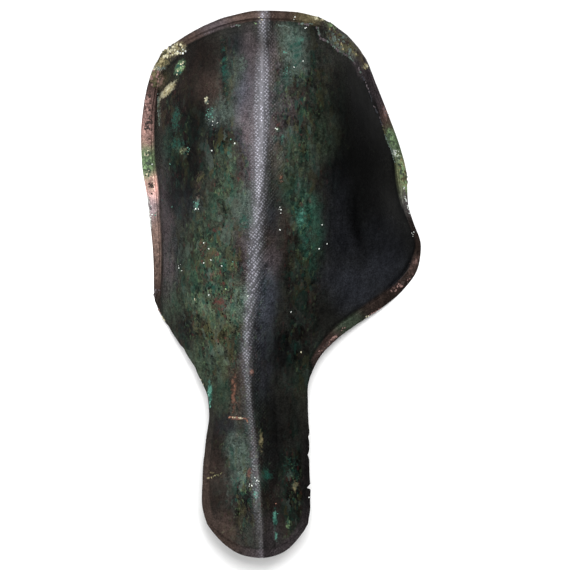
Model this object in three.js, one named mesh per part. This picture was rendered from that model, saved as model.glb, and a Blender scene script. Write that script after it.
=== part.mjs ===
// A bronze greave: one raised sheet with a midrib, two wings, a neck and an instep tongue.
// Millimetres. +Y runs up the shin, +Z out of the midrib, and the wings' rims rest on Z = 0.
// The origin is under the middle of the greave, on the plane that it rests on.

import * as THREE from 'three';

// Lengths along the shin
const PLATE_LENGTH = 254; // from the neck line to the top of the arch
const TONGUE_LENGTH = 106; // from the neck line to the tip of the tongue

// Widths, measured from the midrib's straight line
const LEFT_WING = 79.8;
const RIGHT_WING = 105.5;
const NECK_LEFT = 35;
const NECK_RIGHT = 30.5;
const TONGUE_LEFT = 39.6;
const TONGUE_RIGHT = 32.4;
const MIDRIB_SWAY = 10.5; // how far the midrib bends to the left above the neck

// Heights above the resting plane
const CALF_CREST = 67;
const NECK_CREST = 47;
const NECK_DEPTH = 19; // from the crest down to the rims at the neck
const TONGUE_DEPTH = 15; // the same beside the tongue's round end
const TIP_RISE = 6; // how far the tongue turns up towards its tip
const CORNER_RISE = 10; // how far the upper corners lift off the resting plane

// Sheet, midrib, hem and border
const WALL = 1.3;
const MIDRIB_HEIGHT = 2.8; // of the rounded rib over the sheet beside it, at the tip of the tongue
const MIDRIB_LEFT = 5.2; // reach of the rib's gentle left side from its crest
const MIDRIB_RIGHT = 3.8; // reach of its steeper right side
const MIDRIB_ROUND = 3.2; // how softly the two flanks meet under the rib
const BELLY_POWER = 3; // how squarely the flanks turn down into the wings
const TOP_HEM_WIDTH = 5; // of the edge that is folded outwards over the top arch
const SIDE_HEM_WIDTH = 8.8; // of the same down the wings, at its widest
const HEM_LIFT = 1.5; // of the folded edge over the sheet
const FLARE_WIDTH = 7.4; // on the plan, of the strip under the hem that turns outwards
const FLARE_DROP = 3.6; // how far that strip still falls to the rim
const EDGE_ROUND = 1.4;
const STEP_RUN = 0.7; // run of the step from the hem down to the sheet
const LEVEL_HEIGHT = 4; // rims lower than this are cut level with Z = 0, higher ones square to the sheet
const BORDER_WIDTH = 5.6; // of the flat band round the tongue
const BORDER_DROP = 0.45;

// Damage
const NICK_DEPTH = 3.2;
const NICK_WIDTH = 2.6;
const DENT_DEPTH = 2.4;
const DENT_RADIUS = 19;

// Fineness of the faceted surface
const ROW_STEP = 5.6;
const MIDRIB_COLUMNS = [0.35, 0.85, 1.5]; // shares of the rib's reach
const FLANK_COLUMNS = 7;
const PATH_SAMPLES = 48;

// Sections of the shin plate, from the top of the arch down.
// midrib, leftAt and rightAt are shares of PLATE_LENGTH above the neck line.
// left and right are shares of the way from the neck's half width to the wing's.
// sway, crest, lift and corner are shares of MIDRIB_SWAY, of the way from NECK_CREST to CALF_CREST,
// of the neck rim's height and of CORNER_RISE.
// bowLeft and bowRight are the powers of each section's bend, keel is the straight share of its slope,
// and rib is a share of MIDRIB_HEIGHT.
const PLATE_SECTIONS = [
  { midrib: 1.0, leftAt: 0.893, left: 0.7, rightAt: 0.878, right: 0.51,
    sway: 0, crest: 0.93, lift: 0, corner: 1, bowLeft: 1.85, bowRight: 3.3, keel: 0.38, rib: 0.35 },
  { midrib: 0.94, leftAt: 0.832, left: 0.87, rightAt: 0.805, right: 0.615,
    sway: 0, crest: 0.96, lift: 0, corner: 0.35, bowLeft: 1.9, bowRight: 3, keel: 0.38, rib: 0.35 },
  { midrib: 0.872, leftAt: 0.76, left: 0.957, rightAt: 0.727, right: 0.712,
    sway: 0, crest: 0.99, lift: 0, corner: 0, bowLeft: 2, bowRight: 2.6, keel: 0.38, rib: 0.38 },
  { midrib: 0.8, leftAt: 0.682, left: 1, rightAt: 0.648, right: 0.81,
    sway: 0, crest: 1, lift: 0, corner: 0, bowLeft: 2, bowRight: 2.3, keel: 0.38, rib: 0.4 },
  { midrib: 0.727, leftAt: 0.604, left: 0.985, rightAt: 0.576, right: 0.87,
    sway: 0, crest: 1, lift: 0, corner: 0, bowLeft: 2, bowRight: 2.1, keel: 0.38, rib: 0.42 },
  { midrib: 0.654, leftAt: 0.526, left: 0.913, rightAt: 0.505, right: 0.88,
    sway: 0.02, crest: 0.99, lift: 0, corner: 0, bowLeft: 2, bowRight: 2, keel: 0.38, rib: 0.44 },
  { midrib: 0.586, leftAt: 0.456, left: 0.87, rightAt: 0.445, right: 0.94,
    sway: 0.1, crest: 0.97, lift: 0, corner: 0, bowLeft: 2, bowRight: 2, keel: 0.39, rib: 0.45 },
  { midrib: 0.523, leftAt: 0.383, left: 0.826, rightAt: 0.393, right: 1,
    sway: 0.22, crest: 0.93, lift: 0, corner: 0, bowLeft: 2, bowRight: 2, keel: 0.4, rib: 0.46 },
  { midrib: 0.464, leftAt: 0.318, left: 0.812, rightAt: 0.336, right: 0.974,
    sway: 0.4, crest: 0.86, lift: 0, corner: 0, bowLeft: 2, bowRight: 2, keel: 0.41, rib: 0.48 },
  { midrib: 0.406, leftAt: 0.258, left: 0.812, rightAt: 0.281, right: 0.851,
    sway: 0.62, crest: 0.76, lift: 0, corner: 0, bowLeft: 2, bowRight: 2, keel: 0.43, rib: 0.5 },
  { midrib: 0.352, leftAt: 0.2, left: 0.667, rightAt: 0.234, right: 0.667,
    sway: 0.82, crest: 0.63, lift: 0.2, corner: 0, bowLeft: 2, bowRight: 2, keel: 0.45, rib: 0.5 },
  { midrib: 0.294, leftAt: 0.148, left: 0.478, rightAt: 0.19, right: 0.439,
    sway: 0.95, crest: 0.48, lift: 0.46, corner: 0, bowLeft: 2, bowRight: 2, keel: 0.47, rib: 0.5 },
  { midrib: 0.232, leftAt: 0.099, left: 0.29, rightAt: 0.141, right: 0.219,
    sway: 1, crest: 0.33, lift: 0.7, corner: 0, bowLeft: 2, bowRight: 2, keel: 0.49, rib: 0.5 },
  { midrib: 0.161, leftAt: 0.047, left: 0.13, rightAt: 0.086, right: 0.07,
    sway: 0.98, crest: 0.18, lift: 0.88, corner: 0, bowLeft: 2, bowRight: 2, keel: 0.5, rib: 0.5 },
  { midrib: 0.083, leftAt: -0.003, left: 0.014, rightAt: 0.023, right: 0,
    sway: 0.9, crest: 0.06, lift: 0.97, corner: 0, bowLeft: 2, bowRight: 2, keel: 0.52, rib: 0.5 },
];

// Sections of the tongue, from the neck line to the tip.
// midrib, leftAt and rightAt are shares of TONGUE_LENGTH below the neck line.
// left and right are shares of the way from the neck's half width to the tongue's.
// rise and shallow are shares of TIP_RISE and of the way from NECK_DEPTH to TONGUE_DEPTH.
const TONGUE_SECTIONS = [
  { midrib: 0, leftAt: 0.131, left: 0, rightAt: 0.094, right: 0,
    sway: 0.78, rise: 0, shallow: 0, bow: 2, keel: 0.53, rib: 0.5 },
  { midrib: 0.206, leftAt: 0.269, left: 0.43, rightAt: 0.25, right: 0.67,
    sway: 0.55, rise: 0.02, shallow: 0.1, bow: 2, keel: 0.55, rib: 0.52 },
  { midrib: 0.406, leftAt: 0.419, left: 0.86, rightAt: 0.419, right: 0.67,
    sway: 0.34, rise: 0.12, shallow: 0.3, bow: 2, keel: 0.57, rib: 0.58 },
  { midrib: 0.594, leftAt: 0.556, left: 1, rightAt: 0.556, right: 1,
    sway: 0.16, rise: 0.32, shallow: 0.55, bow: 2.2, keel: 0.6, rib: 0.66 },
  { midrib: 0.756, leftAt: 0.656, left: 1, rightAt: 0.656, right: 1,
    sway: 0.05, rise: 0.56, shallow: 0.75, bow: 2.4, keel: 0.62, rib: 0.8 },
  { midrib: 0.894, leftAt: 0.72, left: 0.78, rightAt: 0.72, right: 0.78,
    sway: 0, rise: 0.82, shallow: 0.92, bow: 2.45, keel: 0.64, rib: 0.95 },
  { midrib: 1, leftAt: 0.79, left: 0.32, rightAt: 0.79, right: 0.1,
    sway: 0, rise: 1, shallow: 1, bow: 2.45, keel: 0.66, rib: 1 },
];

// The hem along each wing: at is the share of PLATE_LENGTH above the neck line on the midrib,
// left and right are shares of HEM_LIFT and of the flare, leftWide and rightWide of SIDE_HEM_WIDTH.
const HEM_STRETCHES = [
  { at: 1, left: 1, leftWide: 0.8, right: 1, rightWide: 0.85 },
  { at: 0.86, left: 1, leftWide: 1, right: 1, rightWide: 0.9 },
  { at: 0.72, left: 1, leftWide: 1, right: 0.9, rightWide: 0.85 },
  { at: 0.62, left: 0.85, leftWide: 0.85, right: 0.45, rightWide: 0.55 },
  { at: 0.52, left: 0.7, leftWide: 0.7, right: 0.3, rightWide: 0.5 },
  { at: 0.46, left: 0.65, leftWide: 0.65, right: 0.75, rightWide: 0.7 },
  { at: 0.4, left: 0.5, leftWide: 0.6, right: 0.85, rightWide: 0.85 },
  { at: 0.36, left: 0, leftWide: 0.6, right: 0.8, rightWide: 0.85 },
  { at: 0.25, left: 0, leftWide: 0.6, right: 0.6, rightWide: 0.7 },
  { at: 0.17, left: 0, leftWide: 0.6, right: 0, rightWide: 0.6 },
  { at: 0, left: 0, leftWide: 0.6, right: 0, rightWide: 0.6 },
];

// Nicks in the rims: at is measured on the midrib from the neck line, as a share of the length of the
// plate (positive) or of the tongue (negative). depth and width are shares of NICK_DEPTH and NICK_WIDTH.
const NICKS = [
  { side: 'left', at: 0.385, depth: 0.3, width: 1 },
  { side: 'left', at: 0.33, depth: 0.42, width: 1.1 },
  { side: 'left', at: 0.262, depth: 0.36, width: 1 },
  { side: 'left', at: 0.2, depth: 0.3, width: 1.2 },
  { side: 'right', at: -0.21, depth: 0.4, width: 1.1 },
  { side: 'right', at: -0.34, depth: 0.5, width: 1.2 },
  { side: 'right', at: -0.6, depth: 1, width: 1 },
];

// Dents and swells: along is the share of the way from the tip to the top, across runs from the left
// rim at -1 to the right rim at 1. depth and size are shares of DENT_DEPTH and DENT_RADIUS, and stretch
// is how many times longer than wide it is.
const DENTS = [
  { along: 0.83, across: -0.66, depth: 1, size: 1, stretch: 1.2 },
  { along: 0.72, across: -0.6, depth: 0.7, size: 0.7, stretch: 1 },
  { along: 0.62, across: -0.3, depth: 0.45, size: 0.8, stretch: 1.3 },
  { along: 0.52, across: -0.72, depth: -0.4, size: 0.9, stretch: 1 },
  { along: 0.86, across: 0.62, depth: -0.5, size: 1, stretch: 1 },
  { along: 0.72, across: 0.72, depth: 1, size: 1.1, stretch: 1 },
  { along: 0.63, across: 0.62, depth: 0.7, size: 0.42, stretch: 3.2 },
  { along: 0.56, across: 0.86, depth: 0.6, size: 0.7, stretch: 1 },
  { along: 0.47, across: 0.44, depth: 0.5, size: 0.8, stretch: 1.2 },
  { along: 0.26, across: 0.5, depth: 0.3, size: 0.6, stretch: 1.5 },
  { along: 0.16, across: -0.5, depth: 0.35, size: 0.6, stretch: 1 },
];

function mix(from, to, share) {
  return from + (to - from) * share;
}

// A smooth curve through (at, value) pairs in rising order of at, which never overshoots them.
function curveThrough(places, values) {
  const last = places.length - 1;
  const slopes = [];
  for (let i = 0; i < last; i += 1) {
    slopes.push((values[i + 1] - values[i]) / (places[i + 1] - places[i]));
  }
  const tangents = [slopes[0]];
  for (let i = 1; i < last; i += 1) {
    const before = slopes[i - 1];
    const after = slopes[i];
    tangents.push(before * after <= 0 ? 0 : (2 * before * after) / (before + after));
  }
  tangents.push(slopes[last - 1]);
  return (at) => {
    let i = 0;
    while (i < last - 1 && at > places[i + 1]) i += 1;
    const span = places[i + 1] - places[i];
    const t = THREE.MathUtils.clamp((at - places[i]) / span, 0, 1);
    const rest = 1 - t;
    return (
      (1 + 2 * t) * rest * rest * values[i] +
      t * rest * rest * span * tangents[i] +
      t * t * (3 - 2 * t) * values[i + 1] -
      t * t * rest * span * tangents[i + 1]
    );
  };
}

// One table row worked out in millimetres. Y is measured from the tip of the tongue.
function plateSection(row) {
  const crest = mix(NECK_CREST, CALF_CREST, row.crest);
  const rim = row.lift * (NECK_CREST - NECK_DEPTH) + row.corner * CORNER_RISE;
  return {
    y: TONGUE_LENGTH + PLATE_LENGTH * row.midrib,
    x: -MIDRIB_SWAY * row.sway,
    crest,
    leftX: -mix(NECK_LEFT, LEFT_WING, row.left),
    leftY: TONGUE_LENGTH + PLATE_LENGTH * row.leftAt,
    leftZ: rim,
    rightX: mix(NECK_RIGHT, RIGHT_WING, row.right),
    rightY: TONGUE_LENGTH + PLATE_LENGTH * row.rightAt,
    rightZ: rim,
    bowLeft: row.bowLeft,
    bowRight: row.bowRight,
    keel: row.keel,
    rib: row.rib,
    tongue: 0,
  };
}

function tongueSection(row) {
  const crest = NECK_CREST + TIP_RISE * row.rise;
  const rim = crest - mix(NECK_DEPTH, TONGUE_DEPTH, row.shallow);
  return {
    y: TONGUE_LENGTH * (1 - row.midrib),
    x: -MIDRIB_SWAY * row.sway,
    crest,
    leftX: -mix(NECK_LEFT, TONGUE_LEFT, row.left),
    leftY: TONGUE_LENGTH * (1 - row.leftAt),
    leftZ: rim,
    rightX: mix(NECK_RIGHT, TONGUE_RIGHT, row.right),
    rightY: TONGUE_LENGTH * (1 - row.rightAt),
    rightZ: rim,
    bowLeft: row.bow,
    bowRight: row.bow,
    keel: row.keel,
    rib: row.rib,
    tongue: THREE.MathUtils.smoothstep(row.midrib, 0.1, 0.4),
  };
}

// Every measure of a section as a smooth curve along the midrib.
function sectionCurves() {
  const sections = [
    ...TONGUE_SECTIONS.map(tongueSection),
    ...PLATE_SECTIONS.map(plateSection),
  ].sort((a, b) => a.y - b.y);
  const places = sections.map((section) => section.y);
  const curves = {};
  for (const key of Object.keys(sections[0])) {
    curves[key] = curveThrough(places, sections.map((section) => section[key]));
  }
  return curves;
}

function nickPlace(nick) {
  return TONGUE_LENGTH + nick.at * (nick.at < 0 ? TONGUE_LENGTH : PLATE_LENGTH);
}

// How far a rim steps inwards at a place on the midrib.
function nickInset(side, y) {
  let inset = 0;
  for (const nick of NICKS) {
    const away = Math.abs(y - nickPlace(nick)) / (NICK_WIDTH * nick.width);
    if (nick.side === side) inset += NICK_DEPTH * nick.depth * Math.max(0, 1 - away);
  }
  return inset;
}

// The places of the rows on the midrib: close together at the ends and at the nicks.
function rowPlaces() {
  const total = TONGUE_LENGTH + PLATE_LENGTH;
  const ends = [
    0, EDGE_ROUND, BORDER_WIDTH / 2, BORDER_WIDTH, BORDER_WIDTH + STEP_RUN,
    total - TOP_HEM_WIDTH - STEP_RUN, total - TOP_HEM_WIDTH, total - TOP_HEM_WIDTH / 2,
    total - EDGE_ROUND, total,
  ];
  const kept = [...ends];
  for (const nick of NICKS) {
    for (const step of [-1, 0, 1]) kept.push(nickPlace(nick) + step * NICK_WIDTH * nick.width);
  }
  const from = BORDER_WIDTH + STEP_RUN;
  const to = total - TOP_HEM_WIDTH - STEP_RUN;
  const count = Math.round((to - from) / ROW_STEP);
  for (let i = 1; i < count; i += 1) {
    const place = mix(from, to, i / count);
    if (kept.every((other) => Math.abs(other - place) > ROW_STEP / 2)) kept.push(place);
  }
  return kept.sort((a, b) => a - b);
}

// A point of the sheet's outer face. u runs from 0 on the midrib to 1 on the rim.
function sheetPoint(section, side, u) {
  const rimX = section[`${side}X`];
  const rimY = section[`${side}Y`];
  const rimZ = section[`${side}Z`];
  const bow = section[side === 'left' ? 'bowLeft' : 'bowRight'];
  const x = mix(section.x, rimX, u);
  const y = mix(section.y, rimY, u ** bow);
  const flank = Math.abs(rimX - section.x);
  const flareShare = (FLARE_WIDTH * section[side]) / flank;
  const flareDrop = (FLARE_DROP * section[side]) / (section.crest - rimZ);
  const onFlank = Math.min(u / (1 - flareShare), 1);
  const onFlare = flareShare > 0 ? Math.max(0, 1 - (1 - u) / flareShare) : 0;
  const round = MIDRIB_ROUND / flank;
  const straight = (Math.hypot(onFlank, round) - round) / (Math.hypot(1, round) - round);
  const belly = onFlank ** BELLY_POWER;
  const fall = mix(belly, straight, section.keel) * (1 - flareDrop) + onFlare * flareDrop;
  let z = mix(section.crest, rimZ, fall);
  const ribReach = side === 'left' ? MIDRIB_LEFT : MIDRIB_RIGHT;
  const beside = 1 - Math.exp(-((u * flank / ribReach) ** 2.5));
  z -= MIDRIB_HEIGHT * section.rib * beside * (1 - u ** 2);
  const total = TONGUE_LENGTH + PLATE_LENGTH;
  for (const dent of DENTS) {
    const dentSide = dent.across < 0 ? 'left' : 'right';
    const centreU = Math.abs(dent.across) * (dentSide === side ? 1 : -1);
    const acrossAway = (u - centreU) * flank;
    const alongAway = y - dent.along * total;
    const reach = DENT_RADIUS * dent.size;
    const fall = Math.exp(-((acrossAway / reach) ** 2) - (alongAway / (reach * dent.stretch)) ** 2);
    z -= DENT_DEPTH * dent.depth * fall * (1 - u ** 6);
  }
  return new THREE.Vector3(x, y, z);
}

// One half of a section, from the midrib out to the rim, with its last columns at the hem's edges.
// A nick moves the rim in by inset and crowds those columns together.
function halfSection(section, side, inset) {
  const path = [];
  for (let i = 0; i <= PATH_SAMPLES; i += 1) path.push(sheetPoint(section, side, i / PATH_SAMPLES));
  const lengths = [0];
  for (let i = 1; i < path.length; i += 1) {
    lengths.push(lengths[i - 1] + path[i].distanceTo(path[i - 1]));
  }
  const whole = lengths[PATH_SAMPLES];
  const shareAt = (length) => {
    let i = 1;
    while (i < PATH_SAMPLES && lengths[i] < length) i += 1;
    return (i - 1 + (length - lengths[i - 1]) / (lengths[i] - lengths[i - 1])) / PATH_SAMPLES;
  };
  const band = mix(SIDE_HEM_WIDTH * section[`${side}Wide`], BORDER_WIDTH, section.tongue);
  const inner = whole - band - STEP_RUN;
  const ribReach = side === 'left' ? MIDRIB_LEFT : MIDRIB_RIGHT;
  const points = [];
  for (const share of MIDRIB_COLUMNS) {
    points.push(sheetPoint(section, side, shareAt(ribReach * share)));
  }
  const ribFoot = ribReach * MIDRIB_COLUMNS[MIDRIB_COLUMNS.length - 1];
  for (let j = 1; j <= FLANK_COLUMNS; j += 1) {
    points.push(sheetPoint(section, side, shareAt(mix(ribFoot, inner, j / FLANK_COLUMNS))));
  }
  for (const fromRim of [band, band / 2, EDGE_ROUND, 0]) {
    const moved = mix(inset, band + STEP_RUN, fromRim / (band + STEP_RUN));
    points.push(sheetPoint(section, side, shareAt(whole - moved)));
  }
  return points;
}

// How high the outer face stands over the plain sheet at a ring of the frame round it.
// Ring 0 is the rim, 1 the end of its rounding, 2 the band's middle, 3 its inner edge and 4 the sheet.
function hemLift(ring) {
  return [0.55, 1, 1, 1, 0][Math.min(ring, 4)] * HEM_LIFT;
}

function borderDrop(ring) {
  return ring < 4 ? BORDER_DROP : 0;
}

// The greave as rows of stations: each has a point of the plain sheet and a lift over it.
function sheetGrid() {
  const curves = sectionCurves();
  const hemPlaces = HEM_STRETCHES.map((row) => TONGUE_LENGTH + PLATE_LENGTH * row.at).reverse();
  const hemCurves = {};
  for (const key of ['left', 'right', 'leftWide', 'rightWide']) {
    hemCurves[key] = curveThrough(hemPlaces, HEM_STRETCHES.map((row) => row[key]).reverse());
  }
  const places = rowPlaces();
  return places.map((y, i) => {
    const section = {};
    for (const key of Object.keys(curves)) section[key] = curves[key](y);
    for (const key of Object.keys(hemCurves)) section[key] = hemCurves[key](y);
    const left = halfSection(section, 'left', nickInset('left', y)).reverse();
    const right = halfSection(section, 'right', nickInset('right', y));
    const points = [...left, sheetPoint(section, 'right', 0), ...right];
    return points.map((point, j) => {
      const side = j < left.length ? 'left' : 'right';
      const sideRing = Math.min(j, points.length - 1 - j);
      const topRing = places.length - 1 - i;
      const onPlate = y > TONGUE_LENGTH;
      const hem = onPlate ? Math.max(hemLift(topRing), hemLift(sideRing) * section[side]) : 0;
      const border = Math.max(borderDrop(i), borderDrop(sideRing) * section.tongue);
      const level = sideRing === 0 ? 1 - Math.min(section[`${side}Z`] / LEVEL_HEIGHT, 1) : 0;
      return { point, lift: hem - border, level };
    });
  });
}

// The sheet's outward direction at each station, from its neighbours.
function outwardAt(grid, i, j) {
  const rowBefore = grid[Math.max(i - 1, 0)][j].point;
  const rowAfter = grid[Math.min(i + 1, grid.length - 1)][j].point;
  const columnBefore = grid[i][Math.max(j - 1, 0)].point;
  const columnAfter = grid[i][Math.min(j + 1, grid[i].length - 1)].point;
  const across = columnAfter.clone().sub(columnBefore);
  const along = rowAfter.clone().sub(rowBefore);
  return across.cross(along).normalize();
}

function shellGeometry() {
  const grid = sheetGrid();
  const rows = grid.length;
  const columns = grid[0].length;
  const positions = [];
  for (const inside of [false, true]) {
    grid.forEach((row, i) => row.forEach(({ point, lift, level }, j) => {
      const place = point.clone().addScaledVector(outwardAt(grid, i, j), inside ? -WALL : lift);
      positions.push(place.x, place.y, Math.max(mix(place.z, point.z, level), 0));
    }));
  }
  const indices = [];
  const outer = (i, j) => i * columns + j;
  const inner = (i, j) => rows * columns + i * columns + j;
  const quad = (a, b, c, d) => indices.push(a, b, c, a, c, d);
  for (let i = 0; i < rows - 1; i += 1) {
    for (let j = 0; j < columns - 1; j += 1) {
      quad(outer(i, j), outer(i, j + 1), outer(i + 1, j + 1), outer(i + 1, j));
      quad(inner(i, j), inner(i + 1, j), inner(i + 1, j + 1), inner(i, j + 1));
    }
    quad(outer(i, 0), outer(i + 1, 0), inner(i + 1, 0), inner(i, 0));
    quad(outer(i + 1, columns - 1), outer(i, columns - 1), inner(i, columns - 1), inner(i + 1, columns - 1));
  }
  for (let j = 0; j < columns - 1; j += 1) {
    quad(outer(0, j + 1), outer(0, j), inner(0, j), inner(0, j + 1));
    quad(outer(rows - 1, j), outer(rows - 1, j + 1), inner(rows - 1, j + 1), inner(rows - 1, j));
  }
  const geometry = new THREE.BufferGeometry();
  geometry.setAttribute('position', new THREE.Float32BufferAttribute(positions, 3));
  geometry.setIndex(indices);
  geometry.computeBoundingBox();
  const middle = geometry.boundingBox.getCenter(new THREE.Vector3());
  geometry.translate(-middle.x, -middle.y, 0);
  geometry.computeVertexNormals();
  return geometry;
}

const patinatedBronze = new THREE.MeshStandardMaterial({ color: 0x3b3f38, roughness: 0.55, metalness: 0.6 });

const greaveShell = new THREE.Mesh(shellGeometry(), patinatedBronze);
greaveShell.name = 'greave_shell';

const greave = new THREE.Group();
greave.add(greaveShell);

export default greave;
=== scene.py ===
"""Bronze greave: the looks of an excavated shin guard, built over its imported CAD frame."""

import math
import random

import bmesh
import bpy
import numpy as np
from bpy.props import FloatProperty, FloatVectorProperty, IntProperty, PointerProperty
from mathutils import Matrix, Vector, noise
from mathutils.bvhtree import BVHTree
from mathutils.kdtree import KDTree


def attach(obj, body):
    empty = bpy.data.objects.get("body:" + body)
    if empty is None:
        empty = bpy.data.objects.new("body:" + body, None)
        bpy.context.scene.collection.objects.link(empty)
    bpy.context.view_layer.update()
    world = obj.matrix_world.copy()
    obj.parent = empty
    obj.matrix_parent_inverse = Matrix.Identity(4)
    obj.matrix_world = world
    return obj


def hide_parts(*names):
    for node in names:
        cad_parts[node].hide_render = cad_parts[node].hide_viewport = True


bl_info = {
    "name": "Bronze greave",
    "version": (1, 0, 0),
    "blender": (4, 5, 0),
    "location": "View3D > Sidebar > Greave",
    "description": "Builds the patinated sheet, its corrosion crust and the studio round it",
    "category": "Object",
}

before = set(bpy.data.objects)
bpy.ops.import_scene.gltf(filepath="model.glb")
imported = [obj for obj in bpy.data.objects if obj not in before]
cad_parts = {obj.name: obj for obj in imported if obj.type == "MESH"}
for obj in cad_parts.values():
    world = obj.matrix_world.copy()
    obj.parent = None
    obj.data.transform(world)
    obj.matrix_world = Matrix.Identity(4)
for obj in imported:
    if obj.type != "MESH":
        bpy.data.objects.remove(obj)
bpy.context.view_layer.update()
SHELL_NODE = "greave_shell"
MM = 0.001
LOWEST_LUMP = 0.1  # crust stays this far above the floor, in millimetres
STEEPEST = 0.1  # nothing is set where the outer face turns further down than this
HOLLOW_LIMIT = 1e-4  # marks under this belong to the outer face
WELD = 2e-6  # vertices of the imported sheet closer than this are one, in metres
SHARP_RIM = 48  # degrees between faces past which an edge of the rims stays crisp
PLAIN_GROUND = 0.22  # weight of the plain patina under all charted stains
NARROWEST_HEM = 0.6  # of a hem that shows, in millimetres
TOP_HEM_WIDTH = 6.2
TOP_ARCH = (150, 160)  # y between which the sides' hem turns into the top one
TONGUE = (-75, -95)  # y between which the tongue's border comes in
BORDER_EDGE = (5.0, 6.4)  # the border's soft edge, as distances from the rim
HEM_EDGE = (-0.4, 0.9)  # the hem's soft edge, as distances from its width
HEM_SHADE_LINE = (1.1, 1.0)  # middle and reach of the painted shade along the hem's inner edge
RIB_REACH = 11.0  # of the stippled ground on either side of the midrib's crest
PITTED = (-46, -24, 26, 48, 0)  # ellipse of the pitted ground: x, y, reaches and turn
GREAVE_MIDDLE = 0.03  # height that the lights face, in metres
LENS_PLANE = 0.02  # height at which view_width is measured, in metres
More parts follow.
